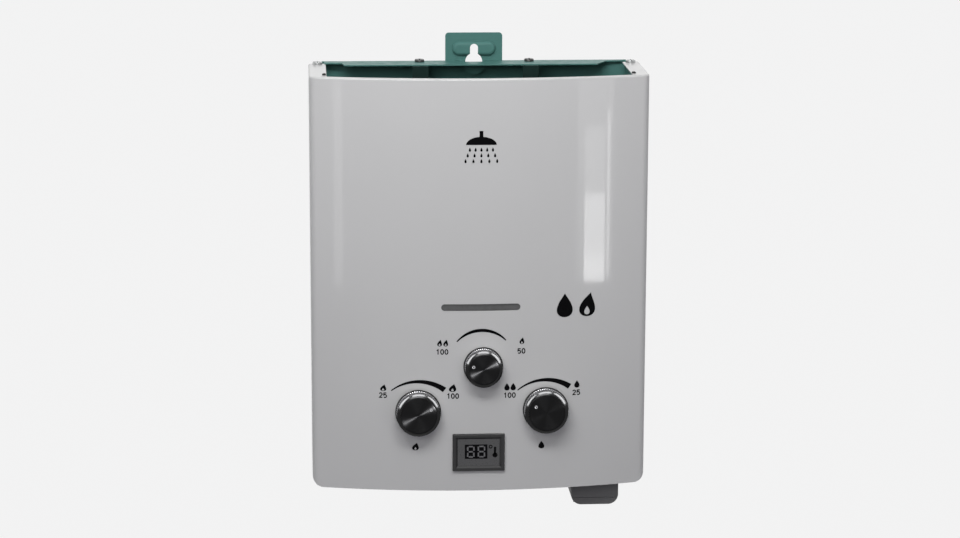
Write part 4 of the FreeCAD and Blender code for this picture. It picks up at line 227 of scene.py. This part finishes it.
class Shader:
    """A material under construction around one Principled BSDF, with the piece's coordinates in metres."""

    def __init__(self, name, **settings):
        """Each setting is a number or colour for the socket of that name, such as coat_weight for Coat Weight."""
        self.material = bpy.data.materials.new(name)
        self.material.use_nodes = True
        self.tree = self.material.node_tree
        self.surface = self.tree.nodes["Principled BSDF"]
        self.place = self.tree.nodes.new("ShaderNodeTexCoord").outputs["Object"]
        for setting, value in settings.items():
            self.set(self.surface, setting.replace("_", " ").title().replace("Ior", "IOR"), value)

    def set(self, node, socket, value):
        """Links a socket or sets its value."""
        target = node.inputs[socket]
        if isinstance(value, bpy.types.NodeSocket):
            self.tree.links.new(value, target)
        elif target.type == "RGBA":
            target.default_value = (*value, 1)
        else:
            target.default_value = value

    def node(self, kind, inputs, **properties):
        made = self.tree.nodes.new("ShaderNode" + kind)
        for name, value in properties.items():
            setattr(made, name, value)
        for socket, value in inputs.items():
            self.set(made, socket, value)
        return made

    def noise(self, scale, detail=2.0, stretch=(1, 1, 1)):
        """Noise of that many features a metre, from 0 to 1."""
        stretched = self.node("Mapping", {"Vector": self.place, "Scale": stretch})
        return self.node(
            "TexNoise", {"Vector": stretched.outputs[0], "Scale": scale, "Detail": detail}
        ).outputs["Fac"]

    def spread(self, factor, low, high, start=0.3, end=0.7):
        """A number that goes from low to high as the factor goes from start to end."""
        limits = {"Value": factor, "From Min": start, "From Max": end, "To Min": low, "To Max": high}
        return self.node("MapRange", limits).outputs["Result"]

    def tint(self, factor, first, second):
        """A colour between two. A mix node holds sockets of one name for each kind of data."""
        made = self.node("Mix", {}, data_type="RGBA")
        sockets = {socket.identifier: socket for socket in made.inputs}
        self.tree.links.new(factor, sockets["Factor_Float"])
        sockets["A_Color"].default_value = (*first, 1)
        sockets["B_Color"].default_value = (*second, 1)
        return next(socket for socket in made.outputs if socket.identifier == "Result_Color")

    def colour(self, factor, first, second):
        self.set(self.surface, "Base Color", self.tint(factor, first, second))

    def roughness(self, factor, low, high):
        self.set(self.surface, "Roughness", self.spread(factor, low, high))

    def bump(self, height, distance, strength):
        """Raises the surface by up to that many metres, and gives the finished material."""
        made = self.node("Bump", {"Height": height, "Distance": distance, "Strength": strength})
        self.set(self.surface, "Normal", made.outputs[0])
        return self.material


def cover_paint():
    """Light grey gloss enamel on sheet steel, with the faint waviness of sprayed paint."""
    paint = Shader("cover_paint", specular_ior_level=0.1, coat_weight=0.5, coat_roughness=0.04)
    paint.colour(paint.noise(9), (0.495, 0.495, 0.496), (0.52, 0.52, 0.521))
    paint.roughness(paint.noise(60, 3), 0.3, 0.4)
    return paint.bump(paint.noise(420), 0.01 * MM, 0.5)


def chassis_paint():
    """Green enamel on the back sheet and its bracket."""
    paint = Shader("chassis_paint", specular_ior_level=0.15)
    paint.colour(paint.noise(30, 4), (0.058, 0.154, 0.14), (0.073, 0.186, 0.168))
    paint.roughness(paint.noise(140, 3), 0.44, 0.58)
    return paint.bump(paint.noise(700), 0.02 * MM, 0.6)


def painted_shade_paint():
    """The green enamel at about a tenth of its tone: painted shade on the flue hood's tabs, so that they stay as
    dark as the shaded inside of the top opening.
    """
    paint = Shader("painted_shade_paint", roughness=0.6, specular_ior_level=0.1)
    paint.colour(paint.noise(30, 4), (0.005, 0.015, 0.013), (0.008, 0.023, 0.02))
    return paint.bump(paint.noise(700), 0.02 * MM, 0.6)


def metal(name, colour, roughness, grain=(1, 1, 1), scale=300, depth=0.01 * MM, darkest=0.85):
    """Bare metal whose roughness and tone vary a little along its grain."""
    made = Shader(name, metallic=1.0)
    fine = made.noise(scale, 3, grain)
    made.colour(made.noise(scale / 6, 3), tuple(channel * darkest for channel in colour), colour)
    made.roughness(fine, roughness * 0.8, roughness * 1.25)
    return made.bump(fine, depth, 0.5)


def plastic(name, colour, roughness, depth=0.03 * MM, coat=0.0):
    """Moulded plastic with a fine spark-eroded grain."""
    made = Shader(name, specular_ior_level=0.3, coat_weight=coat, coat_roughness=0.08)
    grain = made.noise(900)
    made.colour(made.noise(25, 4), colour, tuple(channel * 1.18 for channel in colour))
    made.roughness(grain, roughness * 0.85, roughness * 1.15)
    return made.bump(grain, depth, 0.6)


def spun_metal():
    """Dark nickel turned on a lathe: fine rings round the knob's own axis."""
    made = Shader("knob_face", metallic=1.0, roughness=0.3, anisotropic=1.0, anisotropic_rotation=0.25)
    radius = made.node("VectorMath", {0: made.place}, operation="LENGTH").outputs["Value"]
    turning = {"W": radius, "Scale": 2600, "Detail": 2.0}
    rings = made.node("TexNoise", turning, noise_dimensions="1D").outputs["Fac"]
    made.colour(rings, (0.009, 0.009, 0.0095), (0.017, 0.017, 0.0175))
    tangent = made.node("Tangent", {}, direction_type="RADIAL", axis="Y")
    made.set(made.surface, "Tangent", tangent.outputs[0])
    return made.bump(rings, 0.01 * MM, 0.4)


def mica():
    """Smoked mica: greyish, with faint flakes."""
    made = Shader("mica", roughness=0.28, coat_weight=0.5)
    flakes = made.node("TexVoronoi", {"Vector": made.place, "Scale": 260}).outputs["Distance"]
    made.colour(flakes, (0.05, 0.05, 0.052), (0.066, 0.066, 0.068))
    return made.material


def ink(name, colour):
    """Matt printing ink of one colour."""
    made = Shader(name, base_color=colour, specular_ior_level=0.02)
    made.roughness(made.noise(900), 0.51, 0.72)
    return made.material


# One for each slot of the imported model
MATERIALS = {
    "cover_paint": cover_paint(),
    "chassis_paint": chassis_paint(),
    "knob_chrome": metal("knob_chrome", (0.46, 0.46, 0.475), 0.22, scale=500),
    "knob_face": spun_metal(),
    "bezel_plastic": plastic("bezel_plastic", (0.01, 0.01, 0.011), 0.32, coat=0.2),
    "lens_plastic": plastic("lens_plastic", (0.06, 0.06, 0.062), 0.3, coat=0.15),
    "battery_plastic": plastic("battery_plastic", (0.13, 0.13, 0.131), 0.55, depth=0.06 * MM),
    "module_plastic": plastic("module_plastic", (0.02, 0.02, 0.021), 0.5),
    "screw_steel": metal("screw_steel", (0.09, 0.09, 0.09), 0.35),
    "steel": metal("steel", (0.42, 0.43, 0.43), 0.34, grain=(1, 1, 8)),
    "brass": metal("brass", (0.62, 0.45, 0.18), 0.28),
    "copper": metal("copper", (0.6, 0.27, 0.15), 0.32, darkest=0.7),
    "castings": metal("castings", (0.4, 0.41, 0.42), 0.55, scale=900, depth=0.06 * MM),
    "mica": mica(),
    "rubber": plastic("rubber", (0.015, 0.015, 0.015), 0.75),
    "cell_jacket": plastic("cell_jacket", (0.03, 0.03, 0.045), 0.22, coat=0.5),
    "ceramic": plastic("ceramic", (0.75, 0.73, 0.68), 0.2, coat=0.4),
}
BLACK_INK = ink("black_ink", (0.003, 0.003, 0.0035))
UNLIT_SEGMENT = ink("unlit_segment", (0.15, 0.15, 0.155))
# A near-black copy of the knob chrome for the bevelled rims: painted shade, so that the rims read dark except
# where their own lamps glint
SHADED_RIM_CHROME = metal("shaded_rim_chrome", (0.022, 0.022, 0.0225), 0.16, scale=500)

SHADED_HOOD_TABS_FROM = -18 * MM  # height above which the flue hood is only its tabs, which get the painted shade
CORNER_SCREWS_FROM = 100 * MM  # the screws further out than this are bright


def repaint(node, material, chosen):
    """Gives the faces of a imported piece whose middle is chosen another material."""
    mesh = nodes[node].data
    mesh.materials.append(material)
    for face in mesh.polygons:
        if chosen(face.center):
            face.material_index = 1


def dress_nodes():
    """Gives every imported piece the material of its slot."""
    for part in frame["record"]["subparts"]:
        mesh = nodes[part["node"]].data
        mesh.materials.clear()
        mesh.materials.append(MATERIALS[part["material_slot"]])
    # The flue hood's tabs get painted shade: a near-black copy of the green enamel, as dark as the shaded opening
    repaint("flue_hood", painted_shade_paint(), lambda middle: middle.z > SHADED_HOOD_TABS_FROM)
    repaint("sheet_screws", MATERIALS["steel"], lambda middle: abs(middle.x) > CORNER_SCREWS_FROM)


# ---------------------------------------------------------------- shapes of ink, in mm

# A shape is a list of loops of (x, z): the outline, then its holes.

DROP_BELLY = 0.62  # reach of a drop's flanks, as a share of its width
DROP_TAPER = 1.3  # how hollow the flanks are below the tip
FLAME_LEAN = 0.22  # how far a flame's tip leans, as a share of its width
FLAME_HOLLOW = (0.34, 0.36)  # width and height of the drop left out of a flame, as shares of its own
FLAME_HOLLOW_FALL = 0.24  # how far that drop lies below the middle, as a share of the height
SHARPEST_MITRE = 0.5


def circle_through(first, middle, last):
    """Centre and radius of the circle through three points."""
    (ax, az), (bx, bz), (cx, cz) = first, middle, last
    d = 2 * (ax * (bz - cz) + bx * (cz - az) + cx * (az - bz))
    a, b, c = ax * ax + az * az, bx * bx + bz * bz, cx * cx + cz * cz
    x = (a * (bz - cz) + b * (cz - az) + c * (az - bz)) / d
    z = (a * (cx - bx) + b * (ax - cx) + c * (bx - ax)) / d
    return (x, z), math.dist((x, z), first)


def strip(upper, lower):
    """The short quads between two lines of as many points, which follow the bow as one wide shape would not."""
    return [[[lower[k], lower[k + 1], upper[k + 1], upper[k]]] for k in range(len(upper) - 1)]


def arc_band(first, middle, last, thickness, steps=40):
    """A band along an arc. Its thickness is a function of the share of the way, from 0 to 1."""
    centre, radius = circle_through(first, middle, last)
    begin = math.atan2(first[1] - centre[1], first[0] - centre[0])
    end = math.atan2(last[1] - centre[1], last[0] - centre[0])
    outer, inner = [], []
    for step in range(steps + 1):
        share = step / steps
        angle = begin + (end - begin) * share
        half = thickness(share) / 2
        for side, reach in ((outer, radius + half), (inner, radius - half)):
            side.append((centre[0] + reach * math.cos(angle), centre[1] + reach * math.sin(angle)))
    return strip(outer, inner)


def drop(x, z, width, height, lean=0.0, steps=28):
    """The loop of a water drop, pointed at the top. Lean moves its tip sideways."""
    loop = []
    for step in range(steps):
        angle = 2 * math.pi * step / steps
        up = (1 + math.cos(angle)) / 2
        side = math.sin(angle) * math.sin(angle / 2) ** DROP_TAPER
        loop.append((x + side * width * DROP_BELLY + lean * up ** 3, z + (up - 0.5) * height))
    return loop


def flame(x, z, width, height):
    """A leaning drop with a smaller one left out near its foot."""
    hollow = (width * FLAME_HOLLOW[0], height * FLAME_HOLLOW[1])
    inner = drop(x, z - height * FLAME_HOLLOW_FALL, *hollow)
    return [drop(x, z, width, height, width * FLAME_LEAN), inner[::-1]]


def bar(x, z, width, height):
    left, right, foot, top = x - width / 2, x + width / 2, z - height / 2, z + height / 2
    return [[(left, foot), (right, foot), (right, top), (left, top)]]


def stroke(points, weight):
    """A line of that weight through the points, mitred where it turns. Its ends join where they meet."""
    sides = ([], [])
    closed = math.dist(points[0], points[-1]) < 1e-6
    for k, (x, z) in enumerate(points):
        before = points[k - 1] if k else (points[-2] if closed else None)
        after = points[k + 1] if k + 1 < len(points) else (points[1] if closed else None)
        normals = [
            Vector((first[1] - second[1], second[0] - first[0])).normalized()
            for first, second in ((before, (x, z)), ((x, z), after))
            if first and second
        ]
        middle = sum(normals, Vector((0, 0))).normalized()
        reach = weight / 2 / max(middle.dot(normals[0]), SHARPEST_MITRE)
        for side, way in zip(sides, (1, -1)):
            side.append((x + way * reach * middle.x, z + way * reach * middle.y))
    return strip(*sides)


def arc_points(x, z, radius_x, radius_z, first, last, steps=14):
    """Points on an arc of an ellipse between two angles in degrees."""
    angles = [math.radians(first + (last - first) * k / steps) for k in range(steps + 1)]
    return [(x + radius_x * math.cos(angle), z + radius_z * math.sin(angle)) for angle in angles]


def ring(x, z, outer, inner, steps):
    return strip(*(arc_points(x, z, radius, radius, 360, 0, steps) for radius in (outer, inner)))


# Paths of plain figures around the middle of a box 0.6 wide and 1 high
FIGURES = {
    "0": arc_points(0, 0, 0.26, 0.44, 90, 450, 28),
    "1": [(-0.2, 0.22), (0.04, 0.42), (0.04, -0.5)],
    "2": [*arc_points(0, 0.2, 0.24, 0.24, 170, -25), (-0.24, -0.43), (0.3, -0.43)],
    "5": [(0.26, 0.43), (-0.2, 0.43), (-0.24, 0.02), *arc_points(-0.01, -0.16, 0.26, 0.28, 110, -145)],
}
FIGURE_HEIGHT = 4.6
FIGURE_PITCH = 0.8 * FIGURE_HEIGHT
FIGURE_WEIGHT = 0.21 * FIGURE_HEIGHT


def number(text, x, z):
    """A plain number around a point."""
    quads = []
    for place, figure in enumerate(text):
        shift = x + (place - (len(text) - 1) / 2) * FIGURE_PITCH
        path = [(shift + across * FIGURE_HEIGHT, z + up * FIGURE_HEIGHT) for across, up in FIGURES[figure]]
        quads += stroke(path, FIGURE_WEIGHT)
    return quads


def seven_segments(x, z, width, height, weight, gap):
    """The seven bars of a digit."""
    half, quarter = height / 2, height / 4
    across, upright = width - 2 * weight - gap, half - weight - gap
    return [
        *(bar(x, z + level, across, weight) for level in (half - weight / 2, 0, weight / 2 - half)),
        *(
            bar(x + side * (width - weight) / 2, z + level, weight, upright)
            for side in (-1, 1)
            for level in (quarter, -quarter)
        ),
    ]


# ---------------------------------------------------------------- printing

COVER_BOW = 20 * MM  # how far the middle of the front stands before its sides
INK_PROUD = 0.08 * MM
PRINT_SLOT = "module_plastic"

cover_low, cover_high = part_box("front_cover")
bow_radius = (cover_high.x ** 2 + COVER_BOW ** 2) / (2 * COVER_BOW)


def front_y(x):
    """Depth of the cover's bowed front at a place across it."""
    return cover_low.y + bow_radius - math.sqrt(bow_radius ** 2 - x * x)


def finished(name, mesh, slot, body, material=None):
    """A new piece with that mesh and body, in its slot's material unless it has its own."""
    mesh.materials.append(material or MATERIALS[slot])
    piece = bpy.data.objects.new(name, mesh)
    bpy.context.scene.collection.objects.link(piece)
    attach(piece, body)
    return piece


def printed(name, shapes, material=BLACK_INK, depth=None):
    """Ink that lies on the cover's front, or on a flat face at that depth."""
    points, faces = [], []
    for loops in shapes:
        flat = [point for loop in loops for point in loop]
        start = len(points)
        for x, z in flat:
            y = (front_y(x * MM) if depth is None else depth) - INK_PROUD
            points.append((x * MM, y, z * MM))
        outlines = [[Vector((x, z, 0)) for x, z in loop] for loop in loops]
        for triangle in tessellate_polygon(outlines):
            a, b, c = (flat[index] for index in triangle)
            turning = (b[0] - a[0]) * (c[1] - a[1]) - (b[1] - a[1]) * (c[0] - a[0])
            ordered = triangle if turning > 0 else reversed(triangle)
            faces.append([start + index for index in ordered])
    mesh = bpy.data.meshes.new(name)
    mesh.from_pydata(points, [], faces)
    finished(name, mesh, PRINT_SLOT, "case", material)


# The dials' scales. Each arc goes through three points, and the flames and drops stand at its ends and
# under two of the knobs, as (x, z, width, height). The numbers are percentages.
SEASON_ARC = ((-20.6, -227.3), (0.6, -217.4), (21.6, -226.4))
GAS_ARC = ((-76.9, -271.1), (-53.1, -262.7), (-31.1, -269.9))
WATER_ARC = ((31.9, -271), (56.2, -262.5), (77.4, -269.4))
DIAL_ICONS = (
    (flame, -35.4, -228.4, 4.6, 6),
    (flame, -30.2, -228.4, 4.6, 6),
    (flame, 35.4, -227.2, 4.6, 6),
    (flame, -83.8, -268.6, 5.9, 6),
    (flame, -24.3, -268.1, 7, 7),
    (drop, 22.7, -267.7, 5.2, 6.6),
    (drop, 28.1, -267.7, 5.2, 6.6),
    (drop, 83.8, -267.5, 5.2, 6.6),
    (flame, -56.2, -320.5, 6.4, 6.8),
    (drop, 53, -320.4, 5.8, 6.8),
)
DIAL_NUMBERS = (
    ("100", -33.2, -236.2),
    ("50", 35, -236.2),
    ("25", -84, -275.2),
    ("100", -24, -275.3),
    ("100", 25, -275.2),
    ("25", 83.3, -275),
)


def crescent(share):
    """Thickness of the season scale, widest in the middle."""
    return 1.0 + 1.9 * math.sin(math.pi * share)


def wedge(share):
    """Thickness of the gas and water scales, growing to the right."""
    return 0.9 + 4 * share


def print_dial_scales():
    arcs = (*arc_band(*SEASON_ARC, crescent), *arc_band(*GAS_ARC, wedge), *arc_band(*WATER_ARC, wedge))
    printed("dial_scales", arcs)
    printed("dial_icons", [flame(*box) if shape is flame else [drop(*box)] for shape, *box in DIAL_ICONS])
    printed("dial_numbers", [quad for entry in DIAL_NUMBERS for quad in number(*entry)])


# The usual plain sign for a shower, above the middle of the front
ROSE_FOOT = -56.4
ROSE_RADIUS, ROSE_RISE = 13, 7
ROSE_STEM = (9.4, 3.2, 5.2)  # height above the rose's foot, width, height
JET_TOP_ROW = -60.3
JET_SIZE = (2.1, 3.7)
JET_PITCH, JET_ROW_PITCH = 4.9, 4.9
JET_SPREAD = 0.9  # how much further apart the jets are in each row down


def print_shower_sign():
    """A shower rose on its stem, and its jets as drops."""
    dome = arc_points(0, ROSE_FOOT, ROSE_RADIUS, ROSE_RISE, 0, 180, 40)
    foot = [(across, ROSE_FOOT) for across, up in dome]
    rise, *size = ROSE_STEM
    printed("shower_rose", [*strip(dome, foot), bar(0, ROSE_FOOT + rise, *size)])
    jets = [
        [drop(column * (JET_PITCH + JET_SPREAD * row), JET_TOP_ROW - JET_ROW_PITCH * row, *JET_SIZE)]
        for row in range(3)
        for column in range(-2, 3)
    ]
    printed("shower_jets", jets)


SIZE_SIGN_HEIGHT = -197.3
SIZE_SIGN_SIZE = (15.5, 21)


def print_size_sign():
    """A large drop and flame, where the front has room for a size mark."""
    printed("size_drop", [[drop(72.5, SIZE_SIGN_HEIGHT, *SIZE_SIGN_SIZE)]])
    printed("size_flame", [flame(92, SIZE_SIGN_HEIGHT, *SIZE_SIGN_SIZE)])


# On the lens: a dark window with two unlit digits, then a degree ring over a thermometer. Places are from
# the middle of the lens for the window, and from the middle of the window for the rest.
WINDOW_SHIFT = (-2.2, 0.7)
WINDOW_SIZE = (19.5, 12.7)
DIGIT_SHIFT = 4.6
DIGIT_SIZE = (6.6, 10.6)
SEGMENT_WEIGHT, SEGMENT_GAP = 1.3, 0.25
THERMOMETER_SHIFT = 16.4
BULB_FALL, BULB_RADIUS = 3.2, 2.2
STEM_RISE, STEM_SIZE = 0.8, (1.9, 6.6)
DEGREE_SHIFT = (12.6, 4.3)
DEGREE_RADII = (1.7, 0.8)


def print_display():
    low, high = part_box("display_lens")
    face = low.y
    x = (low.x + high.x) / 2 / MM + WINDOW_SHIFT[0]
    z = (low.z + high.z) / 2 / MM + WINDOW_SHIFT[1]
    printed("display_window", [bar(x, z, *WINDOW_SIZE)], depth=face)
    digits = [
        segment
        for side in (-1, 1)
        for segment in seven_segments(x + side * DIGIT_SHIFT, z, *DIGIT_SIZE, SEGMENT_WEIGHT, SEGMENT_GAP)
    ]
    printed("display_digits", digits, UNLIT_SEGMENT, face - INK_PROUD)
    across = x + THERMOMETER_SHIFT
    bulb = [arc_points(across, z - BULB_FALL, BULB_RADIUS, BULB_RADIUS, 0, 345, 23)]
    stem = bar(across, z + STEM_RISE, *STEM_SIZE)
    degree = ring(x + DEGREE_SHIFT[0], z + DEGREE_SHIFT[1], *DEGREE_RADII, 24)
    printed("display_sign", [bulb, stem, *degree], depth=face)


# ---------------------------------------------------------------- turned pieces

CREASE_ANGLE = 32  # degrees; sharper edges are not smoothed
KNOB_TEETH = 60
KNOB_TOOTH_DEPTH = 0.5 * MM
KNOB_BEVEL = 2.8 * MM
KNOB_RECESS = 1.1 * MM  # how deep the dish lies in the rim
KNOB_SHADE_RING = 0.8 * MM  # thickness of the dark ring under the knob, in the rubber slot: painted shade round the knob's foot
POINTER_DOTS = {"season": (-9, 2.6), "gas": (10.6, 5), "water": (-9.3, 5.4)}  # mm from the knob's centre

STOP_PLACE = (132, -79)  # x to either side, and y, in mm
# Radius and height above the flange, in mm
STOP_RINGS = ((1.2, -1), (1.2, 0), (1.75, 0.02), (1.8, 0.5), (1.5, 1.1), (0.9, 1.45), (0.2, 1.55))


def tooth(angle):
    """How deep the knob's fluting is at that angle round it."""
    return KNOB_TOOTH_DEPTH * (0.5 - 0.5 * math.cos(angle * KNOB_TEETH)) ** 0.6


def lathe(name, rings, steps):
    """A turned form round the Y axis at the origin. A ring is (radius, y), or (radius, y, "fluted")."""
    points, faces = [], []
    for radius, y, *fluted in rings:
        for step in range(steps):
            angle = 2 * math.pi * step / steps
            reach = radius - tooth(angle) if fluted else radius
            points.append((reach * math.cos(angle), y, reach * math.sin(angle)))
    for ring_number in range(len(rings) - 1):
        for step in range(steps):
            a = ring_number * steps + step
            b = ring_number * steps + (step + 1) % steps
            faces.append((a, a + steps, b + steps, b))
    for ring_number, order in ((0, 1), (len(rings) - 1, -1)):
        faces.append([ring_number * steps + step for step in range(steps)][::order])
    mesh = bpy.data.meshes.new(name)
    mesh.from_pydata(points, [], faces)
    mesh.shade_smooth()
    mesh.set_sharp_from_angle(angle=math.radians(CREASE_ANGLE))
    return mesh


def knob_profiles(radius, front, rear):
    """The rings of a knob's five pieces. Front and rear are the knob's ends along Y, from its centre."""
    hub = radius * 0.55
    foot = rear - KNOB_SHADE_RING
    edge = front + KNOB_BEVEL * 0.75  # where the bevel starts
    lip = radius - KNOB_BEVEL
    dish = front + KNOB_RECESS
    disc = lip - 0.32 * MM
    bottom = front + 0.25 * MM
    return {
        "skirt": [
            (hub, foot),
            (radius - 0.4 * MM, foot),
            (radius, foot - 0.3 * MM),
            (radius, foot - 0.7 * MM),
            (radius, foot - 1.0 * MM, "fluted"),
            (radius, edge + 0.9 * MM, "fluted"),
            (radius, edge + 0.5 * MM),
            (radius, edge),
            (radius - 0.3 * MM, edge),
        ],
        # A dark ring a little wider than the knob: painted shade round the knob's foot
        "base": [
            (hub, rear),
            (radius + 0.8 * MM, rear),
            (radius + 1.1 * MM, rear - 0.25 * MM),
            (radius + 1.1 * MM, rear - 0.6 * MM),
            (radius + 0.9 * MM, foot),
            (hub, foot),
        ],
        "rim": [
            (radius - 0.3 * MM, edge),
            (radius, edge),
            (radius - 0.1 * MM, edge - 0.15 * MM),
            (lip + 0.3 * MM, front + 0.12 * MM),
            (lip, front),
            (lip - 0.2 * MM, front),
            (lip - 0.25 * MM, front + 0.15 * MM),
            (lip - 0.3 * MM, dish),
            (lip * 0.6, dish),
        ],
        "dish": [
            (disc, dish),
            (disc, front + 0.3 * MM),
            (disc - 0.1 * MM, bottom),
            *((disc * share, bottom) for share in (0.9, 0.7, 0.5, 0.3, 0.1)),
        ],
        "dot": [
            (0.5 * MM, dish),
            (1.4 * MM, dish),
            (1.4 * MM, front + 0.2 * MM),
            (1.25 * MM, front + 0.05 * MM),
            (1.0 * MM, front + 0.1 * MM),
            (0.4 * MM, front + 0.3 * MM),
        ],
    }


def make_knob(dial):
    """A chrome knob with a fluted skirt, a bevelled rim in a near-black copy of its chrome (painted shade), a
    spun face and an index dot, on a dark ring in the rubber slot that stands in for the shade round its foot.
    """
    low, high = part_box(f"{dial}_knob")
    centre = (low + high) / 2
    profiles = knob_profiles((high.x - low.x) / 2, low.y - centre.y, high.y - centre.y)
    across, up = POINTER_DOTS[dial]
    pointer = Vector((across * MM, 0, up * MM))
    pieces = {}
    for piece, slot, steps, material in (
        ("skirt", "knob_chrome", KNOB_TEETH * 8, None),
        ("base", "rubber", 96, None),
        # The rim takes the darkened copy of the chrome: painted shade on the bevel
        ("rim", "knob_chrome", 192, SHADED_RIM_CHROME),
        ("dish", "knob_face", 192, None),
        ("dot", "knob_chrome", 32, None),
    ):
        mesh = lathe(f"{dial}_{piece}", profiles[piece], steps)
        pieces[piece] = finished(f"{dial}_{piece}", mesh, slot, f"{dial}_dial", material)
        pieces[piece].matrix_world = Matrix.Translation(centre + pointer if piece == "dot" else centre)
    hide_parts(f"{dial}_knob")
    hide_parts(f"{dial}_knob_face")
    return pieces


def make_bump_stops():
    """The rubber buttons pressed into the holes of the cover's top flanges."""
    rings = [(radius * MM, up * MM) for radius, up in STOP_RINGS]
    for side, name in ((-1, "bump_stop_left"), (1, "bump_stop_right")):
        stop = finished(name, lathe(name, rings, 32), "rubber", "case")
        place = Vector((side * STOP_PLACE[0] * MM, STOP_PLACE[1] * MM, cover_high.z))
        stop.matrix_world = Matrix.Translation(place) @ Matrix.Rotation(math.radians(90), 4, "X")


# ---------------------------------------------------------------- scene

make_camera()
for lamp in STUDIO_LAMPS:
    make_lamp(*lamp)
make_strip_lamps()
make_world()
make_floor()
dress_nodes()
print_dial_scales()
print_shower_sign()
print_size_sign()
print_display()
make_bump_stops()
knobs = {dial: make_knob(dial) for dial in ("season", "gas", "water")}
make_knob_lamps([knob["rim"] for knob in knobs.values()], [knobs["season"]["dish"], knobs["gas"]["dish"]])

bpy.context.scene.view_settings.view_transform = "Standard"
